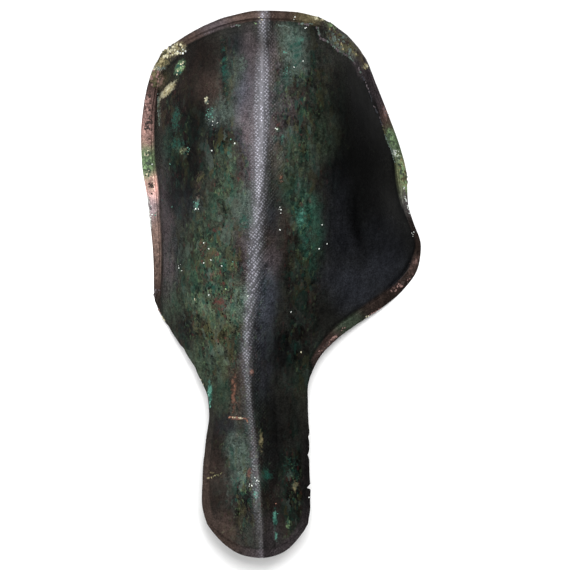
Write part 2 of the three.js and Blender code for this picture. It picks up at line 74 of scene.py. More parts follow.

# Broad stains of the outer face, some rows painted sheen and painted shade as noted, in millimetres on the
# plan: finish, x, y, reach across, reach along, turn in degrees, tone and weight.
STAINS_AND_PAINTED_LIGHT = (
    ("umber", -53.5, 149.6, 12, 12, 0, 0.25, 1.2),
    ("umber", -49.5, 128.5, 9, 10, 0, 1.1, 1.0),
    ("umber", -62.1, 133.8, 7, 12, 0, 0.56, 1.0),
    # Painted shade in the shallow hollow of the left flank: this row and the next two.
    ("pitch", -59.5, 110.0, 8, 13, 0, 0.21, 1.8),
    ("pitch", -64.7, 82.2, 9, 16, 0, 0.22, 1.3),
    ("pitch", -68.0, 62.4, 9, 10, 0, 0.96, 0.9),
    ("slate", -62.8, 53.8, 8, 8, 0, 0.64, 0.9),
    ("umber", -74.6, 116.6, 5, 18, 0, 0.46, 1.2),
    ("verdure", -72.7, 88.9, 5, 10, 0, 0.8, 1.0),
    # Painted sheen along the left edge: this row and the next.
    ("lavender", -77.3, 55.8, 4, 22, 0, 0.78, 0.9),
    ("lavender", -75.3, 13.5, 5, 20, 0, 0.95, 1.0),
    ("slate", -68.0, 26.1, 4, 24, 0, 0.9, 0.6),
    ("moss", -72.0, -12.2, 6, 9, 0, 1.0, 0.8),
    ("ground", -64.1, -27.4, 6, 8, -25, 0.54, 1.3),
    ("moss", -54.2, -45.9, 6, 7, -30, 1.1, 0.8),
    ("moss", -35.0, 78.9, 6, 9, 0, 0.77, 1.0),
    ("moss", -39.0, 59.1, 8, 12, 0, 0.72, 0.9),
    ("moss", -50.2, 26.1, 14, 20, 0, 0.67, 1.0),
    ("moss", -58.8, 10.9, 9, 12, 0, 0.6, 0.8),
    ("moss", -50.2, -10.2, 9, 9, 0, 2, 1.1),
    ("olive", -42.9, -30.1, 9, 9, 0, 0.85, 1.0),
    ("moss", -44.3, -51.2, 9, 10, -20, 1.3, 1.0),
    ("moss", -39.0, -69.7, 8, 12, 0, 0.58, 0.9),
    ("umber", -31.0, -51.2, 5, 12, 0, 0.7, 0.9),
    ("umber", -29.7, -71.0, 4, 12, 0, 1.4, 0.8),
    ("moss", -29.7, -10.2, 5, 12, 0, 1.6, 1.0),
    ("patina", -25.1, -10.2, 2.6, 8, 0, 0.8, 0.9),
    # Painted sheen beside the midrib: the lavender and slate rows between here and the next note.
    ("lavender", -20.5, 153.6, 5, 10, 0, 0.56, 1.0),
    ("slate", -23.8, 127.2, 4, 16, 0, 3.0, 0.9),
    ("olive", -79.9, 135.1, 4, 6, 0, 0.9, 1.2),
    ("umber", -78.0, 115.3, 3, 12, 0, 1.3, 1.0),
    ("lavender", -21.1, 128.5, 4, 16, 0, 0.75, 1.0),
    ("lavender", -21.8, 103.4, 4.5, 14, 0, 1.1, 1.0),
    ("lavender", -21.8, 78.9, 4, 12, 0, 0.64, 1.0),
    ("patina", -23.8, 47.9, 4, 12, 0, 0.7, 1.0),
    ("lavender", -24.4, 29.4, 4, 10, 0, 0.49, 1.0),
    ("umber", -27.7, 22.8, 2, 16, 0, 0.9, 0.7),
    ("lavender", -25.1, 9.6, 3.5, 10, 0, 0.65, 0.9),
    ("slate", -29.7, 157.6, 5, 7, 0, 0.4, 0.9),
    ("patina", -29.1, 139.1, 5, 9, 0, 0.36, 0.9),
    ("patina", -37.7, 113.3, 5, 7, 0, 0.45, 1.0),
    ("pitch", -39.0, 96.8, 7, 6, 0, 0.26, 1.3),
    ("slate", -27.1, 88.9, 3.5, 12, 0, 1.3, 0.6),
    ("lavender", -4.0, 147.0, 4, 12, 0, 0.9, 1.0),
    ("lavender", -2.6, 121.9, 4, 14, 0, 0.65, 1.0),
    ("lavender", -2.6, 94.1, 4, 14, 0, 0.7, 1.0),
    ("ground", -4.0, 67.7, 4, 14, 0, 1.0, 0.8),
    ("slate", -5.3, 41.3, 3.5, 12, 0, 0.8, 0.8),
    ("umber", -6.6, 26.8, 3.5, 9, 0, 0.8, 0.8),
    ("lavender", -6.6, 14.9, 4, 9, 0, 1.2, 1.1),
    # Painted sheen on the smooth blue-grey band right of the midrib: the four slate rows; then painted shade
    # right of the midrib.
    ("slate", -8.6, 1.7, 4, 10, 0, 2.3, 1.2),
    ("slate", -9.9, -14.2, 5, 12, 0, 2.3, 1.3),
    ("slate", -11.2, -36.7, 5, 12, 0, 0.88, 1.2),
    ("slate", -11.9, -59.8, 5, 14, 0, 0.54, 1.2),
    ("pitch", -8.6, -86.2, 6, 18, 0, 0.55, 1.3),
    ("patina", 8.6, 156.2, 6.8, 12, 0, 1.4, 1.0),
    ("patina", 6.6, 135.1, 8, 9, 0, 0.5, 1.0),
    ("lavender", 8.6, 114.0, 8, 12, 0, 0.55, 1.0),
    ("moss", 9.9, 88.9, 9, 14, 0, 0.8, 1.0),
    ("verdure", 7.9, 62.4, 6, 12, 0, 0.65, 0.9),
    ("umber", 5.3, 34.7, 5, 14, 0, 1.0, 1.0),
    ("ground", 4.6, 8.3, 5, 12, 0, 0.5, 0.9),
    ("ground", 2.0, -18.2, 5, 10, 0, 0.75, 0.8),
    # Painted shade right of the midrib.
    ("pitch", 2.0, -44.6, 7, 13, 0, 0.6, 1.4),
    ("ground", 2.6, -70.4, 6, 10, 0, 0.7, 0.9),
    ("moss", 22.5, 110.0, 10, 14, 0, 0.4, 0.9),
    ("moss", 25.1, 94.1, 9, 12, 0, 0.74, 0.9),
    ("ground", 23.8, 67.7, 7, 12, 0, 0.75, 0.9),
    ("verdure", 17.8, 41.3, 6, 13, 0, 2, 1.3),
    ("verdure", 17.8, 17.5, 5, 12, 0, 1.3, 1.1),
    ("ground", 15.9, -10.2, 7, 14, 0, 0.65, 0.9),
    ("ground", 13.9, -38.0, 6, 12, 0, 0.29, 0.9),
    ("moss", 11.9, -57.8, 6, 10, 0, 0.4, 0.9),
    ("ground", 26.4, 149.6, 8, 12, 30, 1.3, 1.0),
    ("ground", 42.3, 133.8, 9, 10, 30, 0.42, 0.9),
    # Right wing, turned from the light: the pitch rows are painted shade, the one at x 49.5 along its crease;
    # the slate rows are painted sheen.
    ("pitch", 49.5, 115.3, 12, 16, 10, 0.54, 1.3),
    ("pitch", 39.0, 75.6, 8, 10, 0, 0.5, 1.5),
    ("pitch", 54.8, 82.2, 14, 20, 0, 0.14, 2.0),
    ("pitch", 56.2, 55.8, 12, 14, 0, 0.55, 1.4),
    ("slate", 37.7, 59.1, 8, 18, 0, 0.49, 1.1),
    ("slate", 41.0, 29.4, 10, 14, 0, 0.61, 1.1),
    ("pitch", 49.5, 41.3, 2.6, 16, 8, 0.3, 3.2),
    ("slate", 64.1, 32.0, 10, 12, 0, 0.5, 1.0),
    ("slate", 68.0, 12.9, 12, 12, 0, 1.1, 1.1),
    ("slate", 46.2, -2.3, 14, 11, -20, 1.3, 1.1),
    ("ground", 29.1, -18.2, 9, 12, 0, 0.45, 0.9),
    ("slate", 77.3, 22.8, 6, 12, 0, 0.25, 0.9),
    ("pitch", 81.3, 49.2, 4, 18, 10, 0.8, 0.9),
    ("umber", -43.6, -102.7, 7, 12, 0, 0.25, 1.1),
    ("umber", -45.6, -122.5, 6, 12, 0, 0.65, 1.0),
    ("umber", -44.3, -142.4, 6, 12, 0, 0.29, 1.1),
    ("umber", -37.7, -160.9, 8, 7, 0, 1.3, 1.0),
    ("slate", -36.3, -92.8, 7, 6, 0, 0.5, 0.9),
    ("patina", -31.7, -108.7, 5, 9, 0, 0.64, 1.0),
    ("patina", -27.1, -122.5, 4.5, 9, 0, 0.58, 1.1),
    ("ground", -25.1, -138.4, 5, 7, 0, 0.12, 1.1),
    ("ground", -27.1, -152.9, 7, 8, 0, 0.4, 1.1),
    # Painted shade right of the tongue's midrib.
    ("pitch", -5.3, -112.6, 5, 22, 0, 0.48, 1.2),
    ("umber", -5.9, -142.4, 4, 10, 0, 0.32, 1.0),
    ("ground", 5.9, -96.1, 6, 12, 0, 0.3, 1.0),
    ("verdure", 7.3, -121.2, 6, 10, 0, 0.059, 1.1),
    ("umber", 6.6, -147.6, 7, 12, 0, 0.14, 1.0),
    ("lavender", -7.3, -163.5, 5, 9, 0, 0.35, 0.9),
)

# Where the fine grains of a mineral lie close: mineral, x, y, reach across, reach along and amount.
FILMS = (
    ("green", -43.6, -3.6, 26, 60, 1.0),
    ("green", -37.0, 75.6, 16, 36, 0.8),
    ("green", -70.0, 95.5, 10, 40, 0.5),
    ("green", 11.2, 115.3, 18, 50, 0.9),
    ("green", 14.5, 29.4, 10, 50, 0.8),
    ("green", 12.6, -43.3, 12, 30, 0.5),
    ("green", -25.1, -125.8, 12, 34, 0.8),
    ("green", 7.3, -135.8, 8, 30, 0.7),
    ("green", -35.0, 135.1, 5, 26, 0.5),
    ("brown", -53.5, 128.5, 18, 30, 0.35),
    ("brown", -63.4, -10.2, 22, 40, 0.6),
    ("brown", 2.6, 36.0, 10, 50, 0.7),
    ("brown", 2.6, 121.9, 20, 40, 0.6),
    ("brown", -40.3, -122.5, 10, 40, 0.3),
    ("brown", -27.1, -73.0, 8, 24, 0.7),
    ("brown", 12.6, -30.1, 14, 40, 0.6),
    ("red", -43.6, 12.9, 14, 44, 0.8),
    ("red", -39.0, -13.5, 10, 14, 1.0),
    ("red", -2.0, 115.3, 10, 40, 0.6),
    ("red", -30.4, -76.3, 8, 20, 0.5),
)

# Patches with a ragged edge: one or two finishes, x, y, reach across, reach along, turn and strength.
PATCHES = (
    ("ochre umber", -72.0, 154.9, 9, 4, 25, 0.95),
    ("cream ochre", -74.6, 153.6, 4, 3, 30, 0.95),
    ("cream olive", -66.1, 154.3, 4, 2, 20, 0.8),
    ("teal verdigris", -66.7, 143.0, 3, 5.5, -20, 0.85),
    ("ochre olive", -79.3, 146.3, 7, 3.4, 30, 0.85),
    ("olive ochre", -83.2, 137.7, 4, 6, 0, 0.8),
    ("cream ochre", -74.6, 128.5, 2.2, 6.5, -43, 0.95),
    ("chalk olive", -81.3, 143.0, 4, 1.2, -15, 0.8),
    ("umber salmon", -80.6, 135.1, 4, 5, 0, 0.7),
    ("salmon umber", -87.9, 110.0, 3, 20, 2, 0.6),
    ("patina olive", -80.6, 116.6, 0.9, 12, 0, 0.8),
    ("verdigris moss", -88.5, 80.3, 4, 10, 0, 0.9),
    ("salmon cream", -86.5, 66.4, 2.5, 6, 0, 0.7),
    # Painted glints on the left hem: this white patch and the next.
    ("chalk lavender", -87.9, 53.2, 1.4, 7, 4, 0.75),
    ("chalk umber", -86.5, 38.6, 0.9, 9, 4, 0.7),
    ("umber pitch", -81.9, 12.9, 2, 24, 0, 0.36),
    ("umber salmon", -83.2, -4.3, 3, 5, 0, 0.5),
    ("ochre cream", 25.1, 175.4, 4, 1.8, -10, 0.9),
    ("olive verdigris", 33.0, 170.1, 4, 3, -30, 0.8),
    ("patina olive", 41.0, 158.9, 13, 5.4, -40, 0.85),
    ("patina cream", 37.7, 158.9, 6, 2, -36, 0.8),
    ("ochre umber", 46.9, 154.9, 7, 2, -46, 0.8),
    ("ochre cream", 55.5, 144.3, 2.2, 2, 0, 0.9),
    ("salmon umber", 68.7, 114.0, 1.6, 5, 15, 0.7),
    ("verdigris moss", 72.7, 96.8, 2.8, 7, 15, 0.85),
    ("verdigris ochre", 80.6, 74.3, 2.6, 14, 12, 0.85),
    ("chalk verdigris", 75.3, 86.9, 2.2, 4, 20, 0.6),
    ("salmon umber", 78.6, 0.3, 9, 2.4, 38, 0.42),
    ("umber salmon", 88.5, 12.9, 3, 9, -20, 0.6),
    ("salmon umber", 31.0, -39.3, 12, 1.8, 42, 0.6),
    ("teal patina", 9.9, 153.6, 5.1, 12, 0, 0.7),
    ("patina teal", 4.0, 135.1, 5, 8, 0, 0.6),
    ("turquoise teal", 13.2, 160.9, 2.2, 2, 0, 0.75),
    ("teal pitch", -37.0, 140.4, 2.0, 20, 4, 0.8),
    ("patina moss", -25.8, 145.0, 4, 8, 0, 0.6),
    ("cream patina", -49.5, 121.2, 1.4, 3, 0, 0.85),
    ("patina slate", -44.9, 110.0, 5, 8, 0, 0.66),
    ("turquoise teal", -46.9, 112.6, 2, 3, 0, 0.75),
    ("teal verdure", -69.4, 108.7, 3, 10, 0, 0.66),
    ("teal verdure", -68.0, 92.2, 6, 5, 0, 0.6),
    ("teal ochre", -64.1, 88.2, 4, 2.4, 0, 0.68),
    ("olive umber", -53.5, 68.4, 3, 8, -12, 0.6),
    ("salmon umber", -53.5, 57.1, 3.5, 1.8, 0, 0.6),
    ("patina turquoise", -55.5, 52.5, 2.0, 4.5, 0, 0.72),
    ("teal patina", -24.4, 41.3, 5, 8, 0, 0.58),
    ("crimson moss", -40.3, -12.2, 5, 6, 0, 0.66),
    ("crimson moss", -51.5, 25.4, 3.5, 7, 0, 0.55),
    ("olive moss", -56.2, -28.1, 2.4, 6, 0, 0.6),
    ("copper salmon", 0.7, 69.7, 1.6, 4, 0, 0.7),
    ("turquoise teal", 0.0, 95.5, 1.6, 4, 0, 0.62),
    ("verdigris patina", -2.6, 101.4, 1.6, 2, 0, 0.7),
    ("teal turquoise", 12.6, 44.6, 3, 7, 0, 0.62),
    ("teal verdure", 17.2, 29.4, 3, 12, 0, 0.55),
    ("copper umber", -31.0, -71.0, 2, 14, 0, 0.62),
    ("copper salmon", -27.1, -88.2, 6, 0.8, 0, 0.85),
    ("copper salmon", -19.2, -57.8, 1.8, 2.4, 0, 0.66),
    ("turquoise teal", -46.9, -71.0, 1.4, 8, 0, 0.75),
    ("verdigris patina", -22.5, -133.1, 3, 6, 0, 0.35),
    ("turquoise patina", -16.5, -138.4, 1.8, 3.5, 0, 0.75),
    ("olive ochre", -13.2, -102.7, 1.6, 7, 0, 0.66),
    ("patina moss", -25.1, -112.6, 5, 12, 0, 0.6),
    ("teal verdure", -9.2, -125.2, 4, 4, 0, 0.66),
    ("verdure teal", 5.9, -119.2, 6, 10, 0, 0.41),
    ("ochre moss", 9.2, -133.1, 2.4, 4, 0, 0.62),
    ("teal turquoise", -4.0, -153.6, 1.5, 6, 0, 0.72),
    ("turquoise patina", -3.3, -165.5, 1.2, 3.2, 0, 0.72),
    ("verdigris teal", 4.6, -158.2, 1.5, 3, 0, 0.7),
    ("crimson copper", -21.1, -123.9, 1.6, 5, 0, 0.62),
    ("ochre umber", -43.6, -125.2, 5, 0.7, -22, 0.75),
)

# Lumps of crust: finishes, x, y, reach across, reach along, turn, lumps, size and height.
CRUSTS = (
    ("ochre cream umber olive", -72.0, 154.3, 8.5, 3.8, 25, 70, 2.2, 1.3),
    ("cream ochre", -75.3, 153.6, 3, 2.2, 30, 14, 2.0, 1.4),
    ("cream chalk olive", -65.4, 153.6, 3, 1.6, 10, 10, 1.5, 1.0),
    ("teal verdigris cream", -66.7, 143.0, 2.4, 5, -20, 18, 1.5, 0.9),
    ("ochre olive umber", -78.6, 147.0, 4, 3, 20, 22, 1.9, 1.0),
    ("ochre cream ochre", -74.6, 128.5, 1.5, 5.5, -43, 20, 1.5, 0.9),
    ("olive salmon umber", -83.2, 136.4, 3.4, 5.5, 0, 24, 2.0, 1.0),
    ("salmon umber salmon", -87.9, 110.0, 2.4, 19, 2, 70, 2.1, 0.9),
    ("verdigris moss cream", -88.5, 80.3, 3, 9, 0, 50, 1.8, 0.9),
    ("salmon umber", -85.9, 65.1, 2.2, 6, 0, 16, 1.6, 0.7),
    # Painted glint on the left hem, as white lumps.
    ("chalk lavender", -86.5, 50.5, 1.2, 8, 4, 10, 1.2, 0.5),
    ("umber lavender", -82.6, -3.6, 2.4, 5, 0, 9, 2.2, 0.8),
    ("ochre cream olive", 25.1, 175.4, 3.6, 1.4, -10, 16, 1.6, 0.9),
    ("olive umber verdigris", 33.0, 170.1, 3, 2.4, -30, 18, 1.7, 1.0),
    ("patina umber olive ochre", 41.0, 159.5, 13, 4.4, -40, 130, 2.0, 0.9),
    ("ochre cream", 55.5, 144.3, 1.6, 1.6, 0, 6, 1.5, 0.9),
    ("salmon lavender", 69.4, 115.3, 1.4, 4, 15, 8, 1.3, 0.5),
    ("verdigris moss", 72.7, 96.8, 1.9, 6.5, 15, 24, 1.5, 0.8),
    ("verdigris olive moss", 80.6, 74.3, 2.2, 13, 12, 50, 1.6, 0.8),
    ("chalk patina", 75.3, 86.9, 1.6, 4, 20, 8, 1.3, 0.6),
    ("salmon umber", 79.3, 0.3, 8, 2, 38, 20, 1.5, 0.5),
    ("salmon umber", 31.0, -39.3, 11, 1.3, 42, 16, 1.4, 0.4),
)

# Single specks: finish, x, y, size and count round that place.
SPECKS = (
    ("chalk", 9.2, 176.0, 1.0, 2), ("chalk", 15.9, 168.8, 1.0, 2), ("cream", -12.6, 174.1, 1.2, 3),
    ("verdigris", -16.5, 171.4, 1.0, 2), ("turquoise", 2.0, 152.9, 1.3, 2), ("chalk", 14.5, 147.0, 1.0, 1),
    ("chalk", 8.6, 143.0, 0.9, 1), ("turquoise", 4.0, 140.4, 0.8, 7), ("cream", -49.5, 121.2, 1.6, 5),
    ("turquoise", -46.2, 112.0, 1.1, 10), ("chalk", -44.9, 107.3, 0.8, 6), ("turquoise", -33.0, 95.5, 1.0, 1),
    ("chalk", -30.4, 92.8, 1.1, 1), ("chalk", -45.6, 88.2, 1.0, 1), ("teal", -69.4, 108.7, 0.9, 6),
    ("verdigris", -66.1, 87.5, 1.0, 3), ("turquoise", -61.4, 90.2, 0.9, 4), ("chalk", -2.6, 102.1, 1.1, 2),
    ("turquoise", -73.3, 79.6, 1.0, 1), ("turquoise", -72.0, 51.2, 1.0, 1), ("teal", -78.6, 55.8, 0.9, 1),
    ("chalk", -56.2, 49.9, 1.1, 3), ("turquoise", -56.2, 53.8, 1.0, 4), ("chalk", -50.9, 27.4, 0.9, 1),
    ("chalk", -47.6, 23.5, 1.0, 1), ("chalk", -46.2, 16.2, 0.9, 1), ("chalk", -50.9, 14.2, 0.9, 1),
    ("chalk", -39.0, 12.2, 0.9, 1), ("chalk", -67.4, 10.9, 0.9, 4), ("verdigris", -36.3, -3.0, 1.3, 2),
    ("chalk", -47.6, -6.9, 0.9, 1), ("cream", -56.8, -10.2, 1.0, 2), ("chalk", -21.8, -7.6, 1.0, 1),
    ("chalk", 0.0, 49.2, 1.0, 4), ("chalk", -0.7, 36.0, 0.9, 1), ("chalk", 25.1, 23.5, 0.9, 1),
    ("chalk", 30.4, 26.8, 0.9, 1), ("chalk", 27.1, 39.3, 0.8, 1), ("chalk", 6.6, -18.2, 0.9, 1),
    # Painted glints on the tongue's midrib: the white specks at x -19.2, y -132.5 and at x -15.9, y -129.1.
    ("cream", 13.2, -44.6, 1.2, 1), ("turquoise", -31.7, 14.9, 1.0, 1), ("chalk", -19.2, -132.5, 1.1, 3),
    ("chalk", -15.9, -129.1, 1.1, 4), ("turquoise", -17.2, -138.4, 1.0, 4), ("chalk", 18.5, -140.4, 1.0, 1),
    ("turquoise", -4.0, -152.3, 1.0, 4), ("copper", -3.3, -144.3, 1.0, 1), ("chalk", -85.2, 79.6, 1.1, 1),
    # Painted glint near the right rim: the white specks at x 87.9, y 34.7.
    ("chalk", 87.9, 34.7, 1.1, 5), ("turquoise", -83.2, 45.9, 1.1, 2), ("chalk", 76.0, 86.9, 1.0, 6),
)

# How wide the folded hem is along each side: y, left width and right width.
HEM_WIDTHS = (
    (-56, 0, 0),
    (-50, 0, 5.2),
    (-34, 0, 6.2),
    (-20, 0.5, 7.2),
    (-13, 4.6, 7.5),
    (-4, 5.3, 7.5),
    (11, 5.9, 6.2),
    (25, 6.3, 4.4),
    (47, 7.4, 4.8),
    (70, 8.8, 7.5),
    (107, 8.8, 7.9),
    (152, 7.1, 7.5),
    (176, 5, 5),
    (182, 5, 5),
)

# Stains of the hem and of the tongue's border, with a painted glint on the left hem, in the same columns as
# the broad stains above.
BAND_STAINS_AND_GLINT = (
    ("umber", -60.1, 161.5, 14, 8, 0, 2.7, 1.0),
    ("lavender", -43.6, 169.4, 10, 8, 0, 1.1, 1.0),
    ("umber", -23.8, 174.7, 12, 8, 0, 2.6, 1.0),
    ("umber", 2.6, 176.0, 12, 8, 0, 2.6, 1.0),
    ("ochre", 16.5, 175.4, 6, 5, 0, 1.1, 1.0),
    ("lavender", 46.9, 154.9, 16, 8, -38, 0.7, 1.0),
    ("lavender", 62.8, 128.5, 8, 16, 0, 0.54, 1.2),
    ("salmon", 70.7, 107.3, 5, 10, 0, 0.5, 1.0),
    ("moss", 78.6, 78.9, 6, 24, 0, 2, 1.0),
    ("verdigris", 73.3, 96.8, 5, 8, 0, 0.6, 1.0),
    ("olive", 80.6, 74.3, 5, 10, 0, 4.5, 0.8),
    ("lavender", 83.9, 55.8, 6, 10, 0, 1.3, 0.8),
    ("umber", 87.9, 38.6, 6, 9, 0, 0.48, 1.3),
    ("umber", 89.8, 26.1, 6, 10, 0, 1.1, 1.2),
    ("umber", 87.2, 10.9, 7, 7, 0, 1.4, 1.0),
    ("salmon", 78.6, -0.3, 9, 5, 38, 0.12, 1.0),
    ("umber", 64.1, -12.2, 12, 6, 30, 1.1, 1.0),
    ("moss", 45.6, -26.8, 8, 6, 30, 1.3, 0.9),
    ("salmon", 29.7, -40.6, 12, 6, 40, 0.22, 1.0),
    ("salmon", -86.5, 135.1, 6, 10, 0, 0.13, 1.0),
    ("salmon", -87.9, 120.6, 6, 9, 0, 0.44, 1.0),
    ("salmon", -88.5, 100.7, 6, 10, 0, 1.6, 1.0),
    ("verdigris", -88.5, 80.9, 6, 9, 0, 0.91, 1.2),
    ("salmon", -86.5, 65.1, 6, 8, 0, 3.5, 1.0),
    # Painted glint on the left hem, in lavender at a high tone.
    ("lavender", -87.2, 51.2, 4, 9, 0, 4, 1.0),
    ("umber", -83.9, 32.7, 5, 14, 0, 5.8, 1.2),
    ("umber", -81.9, 12.9, 6, 14, 0, 3.8, 1.0),
    ("umber", -81.9, -5.6, 6, 9, 0, 0.24, 1.0),
    ("umber", -48.9, -135.8, 8, 26, 0, 1.1, 1.0),
    ("umber", -37.0, -168.8, 12, 12, 0, 1.1, 1.0),
    ("lavender", -12.6, -176.7, 12, 8, 0, 0.45, 1.0),
    ("lavender", 9.2, -168.8, 12, 10, 0, 0.5, 1.0),
    ("lavender", 17.8, -155.6, 6, 12, 0, 0.21, 1.0),
    ("lavender", 17.8, -122.5, 6, 20, 0, 0.09, 1.0),
)

# Painted highlight along the midrib, partly metal rubbed bright by wear: y, x, reach to the left, reach to
# the right and strength.
MIDRIB_HIGHLIGHT_AND_WEAR = (
    (174.7, -10.9, 3.2, 2.6, 0.5),
    (158.2, -10.9, 3.2, 2.6, 0.12),
    (141.7, -11.2, 4.2, 3.6, 0.6),
    (121.9, -11.6, 4.8, 3.8, 0.62),
    (88.9, -13.2, 5.0, 3.8, 0.58),
    (72.3, -13.9, 4.2, 3.6, 0.5),
    (55.8, -14.2, 3.8, 3.2, 0.46),
    (29.4, -16.2, 4.2, 3.2, 0.52),
    (3.0, -18.5, 3.2, 3.2, 0.64),
    (-23.5, -21.5, 2.8, 2.6, 0.4),
    (-49.9, -22.8, 3.2, 3.0, 0.28),
    (-76.3, -21.8, 2.8, 2.6, 0.1),
    (-102.7, -18.5, 3.2, 2.6, 0.1),
    (-129.1, -16.8, 2.6, 2.2, 0.2),
    (-145.7, -15.9, 2.4, 2.2, 0.12),
    (-158.9, -14.5, 2.4, 2.4, 0.08),
    (-174.1, -13.2, 2.4, 2.4, 0.06),
)

# Raw edges of torn layers, as chains of small lumps: finishes, size, height and points to run through.
RAW_EDGES = (
    ("lavender patina", 1.7, 1.0,
     ((11.9, 171.4), (20.5, 171.4), (24.4, 168.8), (25.8, 162.2), (30.4, 160.2))),
    ("patina lavender", 1.7, 1.0,
     ((30.4, 160.2), (37.0, 154.9), (45.6, 149.6), (50.9, 143.0), (53.5, 137.7))),
    ("lavender slate", 1.5, 0.7,
     ((53.5, 137.7), (57.5, 129.8), (60.1, 121.2), (64.1, 112.6), (67.4, 104.7))),
    ("olive patina", 1.1, 0.6, ((67.4, 104.7), (70.0, 95.5), (73.3, 87.5), (76.0, 78.3))),
    ("salmon lavender", 1.1, 0.6, ((-50.2, 164.8), (-46.9, 166.1), (-43.6, 166.8))),
    ("lavender patina", 1.1, 0.6, ((-33.0, 169.4), (-29.7, 170.1), (-26.4, 170.8))),
    ("lavender patina", 1.1, 0.6, ((-1.3, 170.1), (3.3, 170.1), (6.6, 168.1))),
    ("patina moss", 1.0, 0.5, ((-81.3, 125.8), (-81.3, 115.3), (-80.6, 104.7))),
    ("patina cream", 1.2, 0.6, ((-84.6, 142.4), (-80.6, 143.7), (-76.0, 142.4))),
    ("cream salmon", 0.9, 0.5, ((-83.2, -12.2), (-80.6, -18.2), (-76.0, -25.4))),
    ("cream salmon", 0.9, 0.5, ((-73.3, -30.1), (-68.7, -37.3), (-64.1, -44.6))),
    ("salmon cream", 0.9, 0.4, ((-60.8, -50.5), (-55.5, -59.1), (-50.9, -67.1))),
    ("turquoise teal", 1.1, 0.5, ((-48.2, -71.0), (-46.9, -76.3), (-46.9, -81.6))),
    ("copper cream", 1.0, 0.6, ((-34.4, -87.5), (-28.4, -87.5), (-22.5, -88.9), (-21.1, -91.5))),
    ("ochre olive", 0.9, 0.3, ((-48.2, -127.8), (-42.9, -125.8), (-38.3, -123.9))),
    ("salmon cream", 1.0, 0.4, ((76.0, -10.2), (65.4, -16.2), (56.2, -21.5))),
    ("salmon umber", 1.0, 0.4, ((42.3, -28.1), (34.4, -35.3), (27.1, -42.6))),
    ("chalk lavender", 1.0, 0.5, ((81.3, 63.7), (82.6, 55.8), (85.2, 46.6))),
)

# How far stains wander off their charted places, across and then along: reach, size and start of a
# broad and of a fine wandering.
WANDERING = (
    ((2.6, 16.0, 0.0), (1.2, 4.0, 90.0)),
    ((3.4, 18.0, 40.0), (1.4, 5.0, 130.0)),
)

# Films of fine grains: the charted mineral, finish, scale and strength.
GRAIN_FILMS = (
    ("brown", "umber", 0.5, 0.75), ("green", "verdure", 0.62, 0.8), ("green", "teal", 1.0, 0.45),
    ("red", "crimson", 0.8, 0.6), ("green", "verdigris", 1.15, 0.35),
)

# Strokes of many minerals, longer down the shin than across it, from broad to fine: scale, stretch
# and the finishes, each with its start between 0 and 1 and its cover.
STROKES = (
    (0.13, (1.3, 0.5, 1.0), (
        (0.0, "umber", 0.55), (0.16, "verdure", 0.55), (0.3, "olive", 0.5),
        (0.42, "pitch", 0.45), (0.5, "ground", 0.0), (0.88, "patina", 0.4))),
    (0.34, (1.25, 0.5, 1.0), (
        (0.0, "pitch", 0.6), (0.11, "umber", 0.6), (0.22, "teal", 0.5), (0.31, "olive", 0.5),
        (0.39, "verdure", 0.5), (0.45, "ground", 0.0), (0.95, "patina", 0.5))),
    (0.7, (1.2, 0.6, 1.0), (
        (0.0, "pitch", 0.8), (0.08, "umber", 0.6), (0.13, "crimson", 0.5), (0.16, "ground", 0.0),
        (0.9, "verdigris", 0.35), (0.93, "teal", 0.6), (0.97, "olive", 0.6))),
)


class SheetSettings(bpy.types.PropertyGroup):
    """Sizes of the sheet's own relief and of what grows on it."""

    hammer_depth: FloatProperty(
        name="Hammer marks", description="Depth of the broad hammer marks",
        default=0.3 * MM, min=0.0, unit="LENGTH",
    )
    hammer_size: FloatProperty(
        name="Hammer size", description="Usual size of one hammer mark",
        default=17 * MM, min=0.001, unit="LENGTH",
    )
    crust_height: FloatProperty(
        name="Crust height", description="How far the sheet swells under a patch of crust",
        default=0.45 * MM, min=0.0, unit="LENGTH",
    )
    fineness: IntProperty(
        name="Fineness", description="Subdivisions of the packed sheet", default=2, min=1, max=2,
    )
    seed: IntProperty(name="Seed", description="Start of the random draws", default=11)


def colour_property(label, note, shade):
    """A colour that a user may change, given as it looks on a screen."""
    return FloatVectorProperty(
        name=label, description=note, default=tuple(part / 255 for part in shade),
        min=0.0, max=1.0, size=3, subtype="COLOR_GAMMA",
    )


